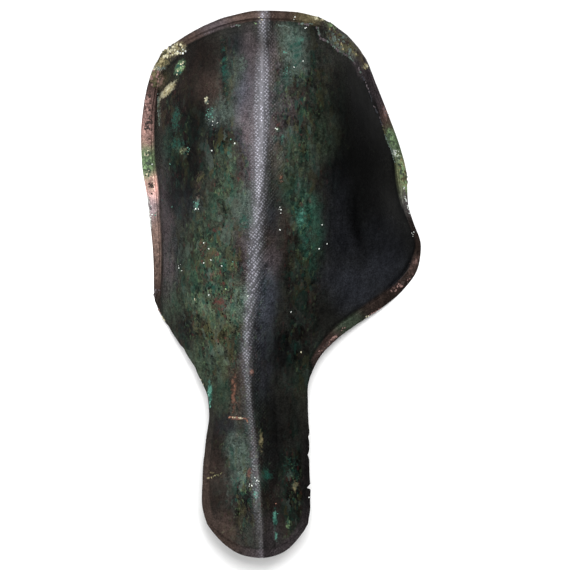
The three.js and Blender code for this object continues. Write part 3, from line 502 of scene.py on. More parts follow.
class PatinaAndLightSettings(bpy.types.PropertyGroup):
    """Colours of the patina and the minerals, some also used as painted sheen, shade and glints, and of the
    midrib's painted highlight, partly metal rubbed bright by wear.
    """

    ground: colour_property("Ground", "Thin dark patina over most of the sheet", (40, 40, 37))
    umber: colour_property("Umber", "Brown patina", (48, 38, 34))
    # also painted as shade on the right wing, in its crease, in the left flank's hollow and right of the
    # midrib
    pitch: colour_property("Pitch", "Near black patina", (14, 15, 16))
    # also painted as blue-grey sheen on the right wing and beside the midrib
    slate: colour_property("Slate", "Smooth blue-grey patina", (38, 40, 46))
    # also painted as sheen beside the midrib and along the left edge, and as a glint on the left hem
    lavender: colour_property("Lavender", "Grey-brown patina with a violet cast", (80, 72, 75))
    moss: colour_property("Moss", "Grey-green patina", (56, 67, 54))
    patina: colour_property("Patina", "Pale green-grey film", (82, 95, 88))
    verdure: colour_property("Verdure", "Clear green patina", (30, 58, 47))
    olive: colour_property("Olive", "Yellow-green earth", (72, 70, 46))
    teal: colour_property("Teal", "Blue-green corrosion", (24, 66, 57))
    turquoise: colour_property("Turquoise", "Bright blue-green mineral", (82, 134, 119))
    verdigris: colour_property("Verdigris", "Light green crust", (112, 136, 98))
    cream: colour_property("Cream", "Pale tin-rich crust", (172, 167, 141))
    # white specks, and also painted glints on the left hem, near the right rim and on the tongue's midrib
    chalk: colour_property("Chalk", "White mineral specks", (206, 211, 205))
    ochre: colour_property("Ochre", "Yellow earth crust", (130, 121, 90))
    salmon: colour_property("Salmon", "Pink-brown crust", (124, 97, 91))
    crimson: colour_property("Crimson", "Red copper oxide", (88, 42, 42))
    copper: colour_property("Copper", "Bare copper colour", (124, 86, 70))
    # painted highlight on the midrib, partly metal rubbed bright by wear
    worn: colour_property("Worn", "Metal worn bright on the midrib", (172, 171, 181))
    inside: colour_property("Inside", "Patina of the hollow side", (76, 70, 56))


class StudioSettings(bpy.types.PropertyGroup):
    """Camera, floor and lights."""

    camera_height: FloatProperty(
        name="Camera height", description="Height of the camera over the floor",
        default=9.0, min=0.5, unit="LENGTH",
    )
    view_width: FloatProperty(
        name="View width", description="Width of floor that the picture shows",
        default=0.3765, min=0.1, unit="LENGTH",
    )
    key_power: FloatProperty(
        name="Left light", description="Power of the large light on the left, in watts",
        default=12.0, min=0.0,
    )
    top_power: FloatProperty(
        name="Top light", description="Power of the light over the greave, in watts",
        default=48.0, min=0.0,
    )
    floor_colour: FloatVectorProperty(
        name="Floor", description="Colour of the floor", default=(0.93, 0.93, 0.93),
        min=0.0, max=1.0, size=3, subtype="COLOR",
    )


def linear(colour):
    """A screen colour as linear light."""
    return tuple(
        part / 12.92 if part <= 0.04045 else ((part + 0.055) / 1.055) ** 2.4 for part in colour
    )


def shades():
    """Every named colour of the patina and of the painted light, as linear light."""
    patina = bpy.context.scene.greave_patina
    return {name: linear(getattr(patina, name)) for name in PatinaAndLightSettings.__annotations__}


def smooth_step(low, high, value):
    """0 below low, 1 above high and an even curve between, for arrays too."""
    share = np.clip((value - low) / (high - low), 0.0, 1.0)
    return share * share * (3.0 - 2.0 * share)


# Shader helpers


class Shader:
    """Adds nodes to one node tree and joins them."""

    def __init__(self, tree):
        self.tree = tree

    def node(self, kind, settings=None, **inputs):
        """Adds a node with its settings and the values or links of its inputs."""
        made = self.tree.nodes.new(kind)
        for name, value in (settings or {}).items():
            setattr(made, name, value)
        for name, value in inputs.items():
            self.feed(made.inputs[name.replace("_", " ")], value)
        return made

    def feed(self, socket, value):
        """Links a socket to another one, or gives it a value."""
        if isinstance(value, bpy.types.NodeSocket):
            self.tree.links.new(value, socket)
        else:
            socket.default_value = value

    def math(self, operation, first, second=0.0, clamp=False):
        """One sum on two values."""
        made = self.node("ShaderNodeMath", {"operation": operation, "use_clamp": clamp})
        self.feed(made.inputs[0], first)
        self.feed(made.inputs[1], second)
        return made.outputs[0]

    def blend(self, share, first, second):
        """Mixes two colours. share is how much of the second one shows."""
        made = self.node("ShaderNodeMix", {"data_type": "RGBA"})
        self.feed(made.inputs[0], share)
        self.feed(made.inputs[6], first)
        self.feed(made.inputs[7], second)
        return made.outputs[2]

    def ramp(self, value, low, high, to_low=0.0, to_high=1.0):
        """Maps low..high to to_low..to_high with soft ends."""
        made = self.node("ShaderNodeMapRange", {"interpolation_type": "SMOOTHSTEP"})
        for socket, given in zip(made.inputs, (value, low, high, to_low, to_high)):
            self.feed(socket, given)
        return made.outputs[0]

    def grain(self, vector, scale, detail=3.0, roughness=0.55, stretch=None):
        """Noise of a given scale, per millimetre, around 0.5."""
        if stretch:
            vector = self.node("ShaderNodeMapping", Vector=vector, Scale=stretch).outputs[0]
        made = self.node(
            "ShaderNodeTexNoise", Vector=vector, Scale=scale, Detail=detail, Roughness=roughness
        )
        return made.outputs[0]

    def cells(self, vector, scale, randomness=1.0):
        """Distance from the middle of each cell, with the cell's own random colour."""
        made = self.node("ShaderNodeTexVoronoi", Vector=vector, Scale=scale, Randomness=randomness)
        return made.outputs[0], made.outputs[1]

    def table(self, value, stops):
        """The colour and the cover that a value picks: rows of start, colour and cover."""
        made = self.node("ShaderNodeValToRGB", Fac=value)
        ramp = made.color_ramp
        ramp.interpolation = "CONSTANT"
        while len(ramp.elements) < len(stops):
            ramp.elements.new(1.0)
        for element, (start, colour, cover) in zip(ramp.elements, stops):
            element.position = start
            element.color = (*colour, cover)
        return made.outputs[0], made.outputs[1]

    def paint(self, name):
        """A colour attribute of the piece."""
        return self.node("ShaderNodeAttribute", {"attribute_name": name}).outputs[0]

    def parts(self, colour):
        """The three channels of a colour."""
        made = self.node("ShaderNodeSeparateColor", Color=colour)
        return made.outputs[0], made.outputs[1], made.outputs[2]


def new_group(name, inputs, outputs):
    """An empty node group with named sockets, and its shader helper."""
    group = bpy.data.node_groups.new(name, "ShaderNodeTree")
    for label, kind, default in inputs:
        socket = group.interface.new_socket(name=label, in_out="INPUT", socket_type=kind)
        if default is not None:
            socket.default_value = default
    for label, kind in outputs:
        group.interface.new_socket(name=label, in_out="OUTPUT", socket_type=kind)
    shader = Shader(group)
    given = shader.node("NodeGroupInput")
    result = shader.node("NodeGroupOutput")
    return group, shader, given.outputs, result.inputs


def ragged_group():
    """Turns a soft mask into one with a ragged edge and small islands round it."""
    group, shader, given, result = new_group(
        "Ragged edge",
        (("Vector", "NodeSocketVector", None), ("Mask", "NodeSocketFloat", 0.0),
         ("Scale", "NodeSocketFloat", 0.6), ("Raggedness", "NodeSocketFloat", 0.6),
         ("Softness", "NodeSocketFloat", 0.08)),
        (("Mask", "NodeSocketFloat"),),
    )
    broad = shader.grain(given["Vector"], given["Scale"], 5.0, 0.62)
    away = shader.math("SUBTRACT", broad, 0.5)
    torn = shader.math("MULTIPLY_ADD", away, given["Raggedness"])
    shader.feed(torn.node.inputs[2], given["Mask"])
    low = shader.math("SUBTRACT", 0.5, given["Softness"])
    high = shader.math("ADD", 0.5, given["Softness"])
    shader.feed(result["Mask"], shader.ramp(torn, low, high))
    return group


def film_group():
    """A thin film of grains: a mask that covers more as its amount grows."""
    group, shader, given, result = new_group(
        "Mineral film",
        (("Vector", "NodeSocketVector", None), ("Amount", "NodeSocketFloat", 0.5),
         ("Scale", "NodeSocketFloat", 0.6), ("Seed", "NodeSocketFloat", 0.0)),
        (("Mask", "NodeSocketFloat"),),
    )
    moved = shader.node("ShaderNodeVectorMath", {"operation": "ADD"})
    shader.feed(moved.inputs[0], given["Vector"])
    shader.feed(moved.inputs[1], given["Seed"])
    squeezed = shader.node("ShaderNodeMapping", Vector=moved.outputs[0], Scale=(1.1, 0.45, 1.0))
    fine = shader.grain(squeezed.outputs[0], given["Scale"], 4.0, 0.68)
    patchy = shader.grain(moved.outputs[0], 0.13, 3.0, 0.6)
    level = shader.math("ADD", fine, shader.math("MULTIPLY", shader.math("SUBTRACT", patchy, 0.5), 0.9))
    low = shader.math("SUBTRACT", 0.78, shader.math("MULTIPLY", given["Amount"], 0.26))
    high = shader.math("ADD", low, 0.16)
    shader.feed(result["Mask"], shader.ramp(level, low, high))
    return group


def mineral_group():
    """Breaks one colour up into lighter and darker grains, as corrosion is."""
    group, shader, given, result = new_group(
        "Mineral grain",
        (("Vector", "NodeSocketVector", None), ("Color", "NodeSocketColor", None),
         ("Scale", "NodeSocketFloat", 1.0), ("Contrast", "NodeSocketFloat", 0.5)),
        (("Color", "NodeSocketColor"), ("Height", "NodeSocketFloat")),
    )
    fine = shader.grain(given["Vector"], given["Scale"], 4.0, 0.7)
    spread = shader.ramp(fine, 0.28, 0.72, -1.0, 1.0)
    amount = shader.math("MULTIPLY", spread, given["Contrast"])
    value = shader.math("ADD", amount, 1.0)
    toned = shader.node("ShaderNodeHueSaturation", Color=given["Color"], Value=value)
    shader.feed(result["Color"], toned.outputs[0])
    shader.feed(result["Height"], fine)
    return group


def use_group(shader, group, **inputs):
    """Places a node group in a material with its own values."""
    made = shader.node("ShaderNodeGroup", {"node_tree": group})
    for name, value in inputs.items():
        shader.feed(made.inputs[name], value)
    return made


def flecks(shader, place, base, amount, scale, stretch, stops):
    """Lays strokes of other minerals over a colour, each one cell of a bent mosaic."""
    bend = shader.node("ShaderNodeTexNoise", Vector=place, Scale=0.7 * scale, Detail=2.0)
    bent = shader.node("ShaderNodeVectorMath", {"operation": "MULTIPLY_ADD"})
    shader.feed(bent.inputs[0], bend.outputs[1])
    bent.inputs[1].default_value = (1.5 / scale,) * 3
    shader.feed(bent.inputs[2], place)
    shaped = shader.node("ShaderNodeMapping", Vector=bent.outputs[0], Scale=stretch)
    _, chosen = shader.cells(shaped.outputs[0], scale)
    pick, strength, _ = shader.parts(chosen)
    tint, cover = shader.table(pick, stops)
    share = shader.math("MULTIPLY", cover, shader.ramp(strength, 0.0, 0.8, 0.3, 1.0))
    return shader.blend(shader.math("MULTIPLY", share, amount), base, tint)


def new_material(name):
    """A material with only its output and its Principled BSDF."""
    material = bpy.data.materials.new(name)
    material.use_nodes = True
    tree = material.node_tree
    tree.nodes.clear()
    shader = Shader(tree)
    surface = shader.node("ShaderNodeBsdfPrincipled")
    output = shader.node("ShaderNodeOutputMaterial")
    tree.links.new(surface.outputs[0], output.inputs[0])
    return material, shader, surface.inputs


def millimetres(shader):
    """Object coordinates in millimetres."""
    place = shader.node("ShaderNodeTexCoord").outputs["Object"]
    made = shader.node("ShaderNodeVectorMath", {"operation": "SCALE"})
    shader.feed(made.inputs[0], place)
    made.inputs["Scale"].default_value = 1000.0
    return made.outputs[0]


def patina_tone(shader, place, mixed):
    """The patina's own unevenness, strongest where grains lie close, with the noises it is made of."""
    clouds = shader.grain(place, 0.11, 4.0, 0.6)
    streaks = shader.grain(place, 0.3, 5.0, 0.62, stretch=(1.0, 0.2, 0.6))
    blotches = shader.grain(place, 0.42, 4.0, 0.65)
    tone = shader.math("ADD", shader.ramp(clouds, 0.3, 0.7, 0.62, 1.3),
                       shader.ramp(streaks, 0.3, 0.7, -0.38, 0.38))
    tone = shader.math("ADD", tone, shader.ramp(blotches, 0.3, 0.7, -0.45, 0.45))
    lively = shader.ramp(mixed, 0.0, 0.5, 0.45, 1.0)
    tone = shader.math("MULTIPLY", shader.math("SUBTRACT", tone, 1.0), lively)
    return shader.math("ADD", tone, 1.0), clouds, streaks, blotches


def mineral_layers(shader, groups, place, base, amounts, mixed):
    """Lays the films of fine grains and the strokes of many minerals over the patina."""
    colours = shades()
    for mineral, finish, scale, strength in GRAIN_FILMS:
        film = use_group(shader, groups["film"], Vector=place, Amount=amounts[mineral],
                         Scale=scale, Seed=scale * 37.0).outputs["Mask"]
        base = shader.blend(shader.math("MULTIPLY", film, strength), base,
                            (*colours[finish], 1.0))
    for scale, stretch, finishes in STROKES:
        stops = [(start, colours[finish], cover) for start, finish, cover in finishes]
        base = flecks(shader, place, base, mixed, scale, stretch, stops)
    return base


def pit_mask(shader, place, pits):
    """Round pits, some cells of a mosaic and each of its own size."""
    middle, chosen = shader.cells(place, 0.42)
    pick, _, size = shader.parts(chosen)
    reach = shader.math("MULTIPLY", size, 0.3)
    hole = shader.ramp(shader.math("SUBTRACT", middle, reach), 0.08, 0.0)
    hole = shader.math("MULTIPLY", hole, shader.ramp(pick, 0.45, 0.55))
    return shader.math("MULTIPLY", hole, pits)


def hollow_side(shader, groups, place, clouds):
    """The colour of the hollow side: brown earth under a broken green film."""
    colours = shades()
    earth = use_group(shader, groups["mineral"], Vector=place, Color=(*colours["inside"], 1.0),
                      Scale=0.5, Contrast=0.35).outputs["Color"]
    green_film = use_group(shader, groups["ragged"], Vector=place,
                           Mask=shader.ramp(clouds, 0.42, 0.66), Scale=0.16, Raggedness=0.9,
                           Softness=0.2).outputs["Mask"]
    return shader.blend(shader.math("MULTIPLY", green_film, 0.75), earth,
                        (*colours["patina"], 1.0))


def bronze_material(groups):
    """Patinated sheet: stains, painted sheen and shade, and patches from the piece's own paint, broken up by
    grain, with a painted highlight on the midrib.
    """
    colours = shades()
    material, shader, surface = new_material("excavated_bronze")
    place = millimetres(shader)
    crust, highlight_and_wear_mask, pits = shader.parts(shader.paint("marks"))
    inner, stipple, _ = shader.parts(shader.paint("zones"))
    green, brown, red = shader.parts(shader.paint("film"))
    amounts = {"green": green, "brown": brown, "red": red}
    mixed = shader.math("MAXIMUM", green, shader.math("MULTIPLY", red, 0.8))
    mixed = shader.math("MAXIMUM", mixed, shader.math("MULTIPLY", brown, 0.2))

    tone, clouds, streaks, blotches = patina_tone(shader, place, mixed)
    toned = shader.node("ShaderNodeHueSaturation", Color=shader.paint("stain_and_painted_light"), Value=tone)
    mottled = use_group(shader, groups["mineral"], Vector=place, Color=toned.outputs[0],
                        Scale=1.0, Contrast=0.5)
    base = mineral_layers(shader, groups, place, mottled.outputs["Color"], amounts, mixed)
    hole = pit_mask(shader, place, pits)
    base = shader.blend(hole, base, (*colours["pitch"], 1.0))

    # Crust patches with ragged edges
    ragged = use_group(shader, groups["ragged"], Vector=place, Mask=crust, Scale=0.6,
                       Raggedness=1.5, Softness=0.16).outputs["Mask"]
    mineral = use_group(shader, groups["mineral"], Vector=place, Color=shader.paint("patch"),
                        Scale=1.1, Contrast=0.4)
    cover = shader.math("MULTIPLY", ragged, shader.ramp(crust, 0.3, 1.0, 0.5, 0.95))
    base = shader.blend(cover, base, mineral.outputs["Color"])
    base = shader.blend(inner, base, hollow_side(shader, groups, place, clouds))

    # Painted highlight on the midrib, stippled, partly metal rubbed bright by wear
    across = shader.node("ShaderNodeMapping", Vector=place, Rotation=(0.0, 0.0, 0.7))
    dots, _ = shader.cells(across.outputs[0], 0.58, 0.3)
    dot = shader.ramp(dots, 0.55, 0.25)
    shine = shader.math("MULTIPLY", shader.ramp(dot, 0.0, 1.0, 0.5, 1.7), highlight_and_wear_mask)
    worn = shader.math("MULTIPLY", shine, shader.ramp(blotches, 0.25, 0.6, 0.75, 1.0), clamp=True)
    base = shader.blend(worn, base, (*colours["worn"], 1.0))
    shader.feed(surface["Base Color"], base)

    # Crust and the hollow side are dull, and the rest has a dark metal's sheen
    dull = shader.math("MAXIMUM", ragged, inner)
    metal = shader.math("MULTIPLY", shader.math("SUBTRACT", 1.0, dull), 0.7)
    shader.feed(surface["Metallic"], metal)
    rough = shader.ramp(streaks, 0.3, 0.7, 0.42, 0.58)
    rough = shader.math("ADD", rough, shader.math("MULTIPLY", dull, 0.3))
    rough = shader.math("ADD", rough, shader.math("MULTIPLY", highlight_and_wear_mask, 0.2), clamp=True)
    shader.feed(surface["Roughness"], rough)
    surface["Specular IOR Level"].default_value = 0.22
    surface["Specular Tint"].default_value = (0.12, 0.12, 0.14, 1.0)

    # Relief of the grain, the streaks, the pits, the crust and the rib's dots
    height = shader.math("MULTIPLY", mottled.outputs["Height"], 0.10)
    height = shader.math("ADD", height, shader.math("MULTIPLY", streaks, 0.12))
    height = shader.math("SUBTRACT", height, shader.math("MULTIPLY", hole, 0.14))
    rise = shader.ramp(mineral.outputs["Height"], 0.2, 0.8, 0.1, 0.5)
    height = shader.math("ADD", height, shader.math("MULTIPLY", ragged, rise))
    beads = shader.math("MULTIPLY", dot, shader.math("MULTIPLY", stipple, 0.2))
    height = shader.math("ADD", height, beads)
    bump = shader.node("ShaderNodeBump", Height=height, Distance=MM, Strength=0.9)
    shader.feed(surface["Normal"], bump.outputs[0])
    return material


def crust_and_glint_material(groups):
    """Mineral crust, with white lumps that stand for painted glints: dull, coloured by the piece's own paint.
    """
    material, shader, surface = new_material("crust_and_glint_finish")
    place = millimetres(shader)
    mineral = use_group(shader, groups["mineral"], Vector=place, Color=shader.paint("patch"),
                        Scale=1.0, Contrast=0.42)
    shader.feed(surface["Base Color"], mineral.outputs["Color"])
    surface["Roughness"].default_value = 0.82
    surface["Specular IOR Level"].default_value = 0.3
    height = shader.math("MULTIPLY", mineral.outputs["Height"], 0.5)
    bump = shader.node("ShaderNodeBump", Height=height, Distance=MM, Strength=0.8)
    shader.feed(surface["Normal"], bump.outputs[0])
    return material


# Reading and painting meshes


def vectors(mesh, attribute):
    """Positions or normals of a mesh's vertices as rows of three numbers."""
    values = np.zeros(len(mesh.vertices) * 3)
    mesh.vertices.foreach_get(attribute, values)
    return values.reshape(-1, 3)


def paint_attribute(mesh, name, values):
    """Stores rows of up to three numbers as a colour attribute."""
    layer = mesh.color_attributes.new(name=name, type="FLOAT_COLOR", domain="POINT")
    rows = np.ones((len(mesh.vertices), 4))
    rows[:, : values.shape[1]] = values
    layer.data.foreach_set("color", rows.astype(np.float32).ravel())


def ellipse_distance(plan, x, y, across, along, turn):
    """Distance from a turned ellipse's middle, which is 1 on its edge."""
    angle = math.radians(turn)
    dx = plan[:, 0] - x
    dy = plan[:, 1] - y
    u = (dx * math.cos(angle) + dy * math.sin(angle)) / across
    v = (dy * math.cos(angle) - dx * math.sin(angle)) / along
    return np.hypot(u, v)


def blended_stains_and_light(plan, rows):
    """The colour of the stains and of the painted sheen and shade at every place of the plan: a soft mix of
    the charted ones.
    """
    colours = shades()
    weight = np.full(len(plan), PLAIN_GROUND)
    total = weight[:, None] * np.array(colours["ground"])
    for finish, x, y, across, along, turn, tone, strength in rows:
        share = strength * np.exp(-ellipse_distance(plan, x, y, across, along, turn) ** 2)
        total += share[:, None] * np.array(colours[finish]) * tone
        weight += share
    return total / weight[:, None]


def fine_films(plan):
    """How close the green, brown and red grains lie at every place of the plan."""
    kinds = ("green", "brown", "red")
    amounts = np.zeros((len(plan), len(kinds)))
    for mineral, x, y, across, along, amount in FILMS:
        here = amount * np.exp(-ellipse_distance(plan, x, y, across, along, 0) ** 2)
        column = kinds.index(mineral)
        amounts[:, column] = np.maximum(amounts[:, column], here)
    return amounts


def ragged_patches(plan):
    """How strongly crust lies at every place of the plan, and its colour there."""
    colours = shades()
    mask = np.zeros(len(plan))
    weight = np.full(len(plan), 1e-6)
    total = weight[:, None] * np.array(colours["teal"])
    broken = wandering(np.column_stack([plan, np.zeros(len(plan))]), 2.6, 2)
    for finishes, x, y, across, along, turn, strength in PATCHES:
        away = ellipse_distance(plan, x, y, across, along, turn)
        here = strength * np.clip(1.35 - 0.75 * away, 0.0, 1.0)
        mask = np.maximum(mask, here)
        share = np.exp(-(away**2) * 1.5)
        main, second = (finishes.split() * 2)[:2]
        other = smooth_step(-0.25, 0.35, broken)[:, None]
        shade = np.array(colours[main]) * (1 - other) + np.array(colours[second]) * other
        total += share[:, None] * shade
        weight += share
    return mask, total / weight[:, None]


def midrib_highlight_and_wear(plan):
    """The middle line of the midrib's painted highlight at every place of the plan, and how strong the
    highlight is there.
    """
    rows = sorted(MIDRIB_HIGHLIGHT_AND_WEAR)
    ys = [row[0] for row in rows]
    middle, left, right, strength = (
        np.interp(plan[:, 1], ys, [row[column] for row in rows]) for column in (1, 2, 3, 4)
    )
    away = plan[:, 0] - middle
    reach = np.where(away < 0, left, right)
    return middle, strength * np.exp(-((away / reach) ** 2))


def wandering(places, size, octaves=3):
    """Smooth noise at every place, about -1 to 1. size is in millimetres."""
    return np.array([noise.fractal(Vector(p) / size, 1.0, 2.0, octaves) for p in places])


# The sheet


def mark_inner(bm):
    """Marks the vertices of the hollow side with 1 in a layer that subdivision carries on."""
    layer = bm.verts.layers.float.new("hollow")
    tree = BVHTree.FromBMesh(bm)
    up = Vector((0, 0, 1))
    for vert in bm.verts:
        hit = tree.ray_cast(vert.co + up * 2e-5, up, 0.02)[0]
        facing_down = vert.normal.z < -0.3 and vert.co.z > 3 * MM
        vert[layer] = 1.0 if hit is not None or facing_down else 0.0
    return layer


def welded_sheet(node):
    """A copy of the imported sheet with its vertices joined, its quads restored and its rims creased."""
    bm = bmesh.new()
    bm.from_mesh(node.data)
    bmesh.ops.remove_doubles(bm, verts=bm.verts, dist=WELD)
    bm.normal_update()
    mark_inner(bm)
    bmesh.ops.join_triangles(
        bm, faces=bm.faces, angle_face_threshold=math.radians(60),
        angle_shape_threshold=math.radians(75),
    )
    crease = bm.edges.layers.float.new("crease_edge")
    for edge in bm.edges:
        if edge.calc_face_angle(0.0) > math.radians(SHARP_RIM):
            edge[crease] = 0.75
    mesh = bpy.data.meshes.new("greave_sheet")
    bm.to_mesh(mesh)
    bm.free()
    for name in ("custom_normal", "sharp_edge", "sharp_face"):
        if name in mesh.attributes:
            mesh.attributes.remove(mesh.attributes[name])
    return mesh


def refined(piece, levels):
    """Applies a subdivision surface to a piece."""
    modifier = piece.modifiers.new("smooth", "SUBSURF")
    modifier.levels = levels
    modifier.render_levels = levels
    evaluated = piece.evaluated_get(bpy.context.evaluated_depsgraph_get())
    mesh = bpy.data.meshes.new_from_object(evaluated)
    piece.modifiers.clear()
    piece.data = mesh
    mesh.shade_smooth()
    return mesh


def rim_distance(mesh, places, hollow):
    """Distance of every vertex from the outer edge of the rim, in millimetres."""
    pairs = np.zeros(len(mesh.edges) * 2, dtype=int)
    mesh.edges.foreach_get("vertices", pairs)
    pairs = pairs.reshape(-1, 2)
    low = np.minimum(hollow[pairs[:, 0]], hollow[pairs[:, 1]])
    high = np.maximum(hollow[pairs[:, 0]], hollow[pairs[:, 1]])
    crossing = pairs[(low < HOLLOW_LIMIT) & (high > HOLLOW_LIMIT)]
    on_rim = np.zeros(len(places), dtype=bool)
    on_rim[crossing[hollow[crossing] < HOLLOW_LIMIT]] = True
    along = pairs[on_rim[pairs[:, 0]] & on_rim[pairs[:, 1]]]
    samples = [
        places[along[:, 0]] * (1 - share) + places[along[:, 1]] * share
        for share in (0.0, 0.25, 0.5, 0.75)
    ]
    points = np.concatenate(samples)
    tree = KDTree(len(points))
    for i, point in enumerate(points):
        tree.insert(point, i)
    tree.balance()
    return np.array([tree.find(place)[2] for place in places])


def outward(places, normals, hollow):
    """The outer face's direction at every vertex, those of the hollow side too, and which vertex has it."""
    tops = np.flatnonzero(hollow < HOLLOW_LIMIT)
    tree = KDTree(len(tops))
    for i in tops:
        tree.insert(places[i], i)
    tree.balance()
    nearest = np.array([tree.find(place)[1] for place in places])
    return normals[nearest], nearest


def wandered(places):
    """The plan with every place moved a little, which gives soft stains wandering outlines."""
    shift = np.stack([
        sum(reach * wandering(places + start, size, 2) for reach, size, start in row)
        for row in WANDERING
    ], axis=1)
    return places[:, :2] + shift


def hem_width(plan, crest):
    """Width of the hem beside every place of the plan, and how far the place is on the top arch."""
    ys = [row[0] for row in HEM_WIDTHS]
    left, right = (
        np.interp(plan[:, 1], ys, [row[column] for row in HEM_WIDTHS]) for column in (1, 2)
    )
    top = smooth_step(*TOP_ARCH, plan[:, 1])
    return np.where(plan[:, 0] < crest, left, right) * (1 - top) + TOP_HEM_WIDTH * top, top


def band_mask(plan, away, widths):
    """1 on the hem and on the tongue's border, 0 on the rest of the sheet."""
    start, end = (widths + shift for shift in HEM_EDGE)
    hem = (1 - smooth_step(start, end, away)) * (widths > NARROWEST_HEM)
    border = (1 - smooth_step(*BORDER_EDGE, away)) * smooth_step(*TONGUE, plan[:, 1])
    return np.maximum(hem, border)


def relief(settings, places, under, crust, hollow):
    """How far every vertex moves out: hammer marks, and the swelling under the crust."""
    hammered = settings.hammer_depth / MM * wandering(places[under], settings.hammer_size / MM)
    hammered *= smooth_step(1.0, 8.0, places[:, 2])
    swell = settings.crust_height / MM * smooth_step(0.35, 0.8, crust) * (1 - hollow)
    swell *= 0.6 + 0.6 * wandering(places, 3.0, 2)
    swell *= smooth_step(1.0, 5.0, places[:, 2])
    return hammered + swell


class GREAVE_OT_sheet(bpy.types.Operator):
    """Build the hammered sheet, paint its stains, its painted sheen and shade and the midrib's painted
    highlight, and give it the patinated bronze
    """

    bl_idname = "greave.sheet"
    bl_label = "Bronze sheet"

    def execute(self, context):
        settings = context.scene.greave_sheet
        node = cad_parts[SHELL_NODE]
        piece = bpy.data.objects.new("greave_sheet", welded_sheet(node))
        context.scene.collection.objects.link(piece)
        mesh = refined(piece, settings.fineness)
        places = vectors(mesh, "co") / MM
        plan = places[:, :2]
        hollow = np.zeros(len(places))
        mesh.attributes["hollow"].data.foreach_get("value", hollow)
        away = rim_distance(mesh, places, hollow)
        facing, under = outward(places, vectors(mesh, "normal"), hollow)

        crest, highlight_and_wear_mask = midrib_highlight_and_wear(plan)
        widths, top = hem_width(plan, crest)
        band = band_mask(plan, away, widths)
        crust, patch = ragged_patches(plan)
        moved_plan = wandered(places)
        stain_and_painted_light = blended_stains_and_light(moved_plan, STAINS_AND_PAINTED_LIGHT) * (1 - band[:, None])
        stain_and_painted_light += blended_stains_and_light(plan, BAND_STAINS_AND_GLINT) * band[:, None]
        # Painted shade in the groove along the hem's inner edge, weaker on the top arch.
        middle, reach = HEM_SHADE_LINE
        hem_shade = np.exp(-(((away - widths - middle) / reach) ** 2)) * (widths > NARROWEST_HEM)
        stain_and_painted_light *= 1 - 0.75 * (hem_shade * (1 - 0.6 * top))[:, None]
        stipple = np.exp(-(((plan[:, 0] - crest) / RIB_REACH) ** 2))
        pits = 0.25 + 0.75 * np.exp(-ellipse_distance(plan, *PITTED) ** 2)

        moved = places + facing * relief(settings, places, under, crust, hollow)[:, None]
        mesh.vertices.foreach_set("co", (moved * MM).ravel())
        mesh.update()
        paint_attribute(mesh, "stain_and_painted_light", stain_and_painted_light)
        paint_attribute(mesh, "patch", patch)
        paint_attribute(mesh, "marks", np.stack([crust * (1 - hollow), highlight_and_wear_mask, pits], axis=1))
        paint_attribute(mesh, "film", fine_films(moved_plan) * (1 - 0.7 * band[:, None]))
        paint_attribute(mesh, "zones", np.stack([hollow, stipple], axis=1))
        mesh.materials.append(bpy.data.materials["excavated_bronze"])
        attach(piece, "root")
        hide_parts(SHELL_NODE)
        return {"FINISHED"}


# Crust and specks


def finish_at(finishes, place, draw):
    """One of several finishes, which lie in patches of about four millimetres."""
    names = finishes.split()
    level = 0.5 + 0.8 * noise.noise(place / (4 * MM)) + draw.uniform(-0.15, 0.15)
    return names[min(len(names) - 1, max(0, int(level * len(names))))]


class LumpPiece:
    """A mesh piece of rough lumps that sit on the finished sheet, with its own random draws."""

    def __init__(self, seed):
        sheet = bpy.data.objects["greave_sheet"].data
        self.tree = BVHTree.FromPolygons(
            [vert.co for vert in sheet.vertices], [face.vertices for face in sheet.polygons]
        )
        self.colours = shades()
        self.draw = random.Random(seed)
        self.bm = bmesh.new()
        self.layer = self.bm.verts.layers.float_color.new("patch")

    def drop(self, x, y):
        """The place and facing of the outer face under a point of the plan, or None twice."""
        place, normal, _, _ = self.tree.ray_cast(Vector((x * MM, y * MM, 0.2)), Vector((0, 0, -1)))
        if place is None or normal.z < STEEPEST:
            return None, None
        return place, normal

    def shade(self, finish, amount):
        """A finish's colour, a little lighter or darker by chance."""
        tone = 1 + self.draw.uniform(-amount, amount)
        return tuple(min(1.0, part * tone) for part in self.colours[finish])

    def add(self, place, normal, size, height, colour):
        """One rough, flattened lump."""
        draw = self.draw
        made = bmesh.ops.create_icosphere(self.bm, subdivisions=2, radius=0.5)["verts"]
        shift = Vector((draw.random(), draw.random(), draw.random())) * 40
        for vert in made:
            vert.co *= 1 + 0.45 * noise.noise(vert.co * 2.6 + shift)
            vert[self.layer] = (*colour, 1.0)
        stretch = draw.uniform(0.75, 1.35)
        turn = Matrix.Rotation(draw.uniform(0, math.tau), 4, "Z")
        scale = Matrix.Diagonal((size * stretch * MM, size / stretch * MM, height * MM, 1.0))
        facing = normal.to_track_quat("Z", "Y").to_matrix().to_4x4()
        matrix = Matrix.Translation(place) @ facing @ turn @ scale
        bmesh.ops.transform(self.bm, verts=made, matrix=matrix)
        for vert in made:
            vert.co.z = max(vert.co.z, LOWEST_LUMP * MM)

    def finish(self, name):
        """Makes the lumps an object that rides on the sheet."""
        mesh = bpy.data.meshes.new(name)
        self.bm.to_mesh(mesh)
        self.bm.free()
        mesh.shade_smooth()
        mesh.materials.append(bpy.data.materials["crust_and_glint_finish"])
        piece = bpy.data.objects.new(name, mesh)
        bpy.context.scene.collection.objects.link(piece)
        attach(piece, "root")


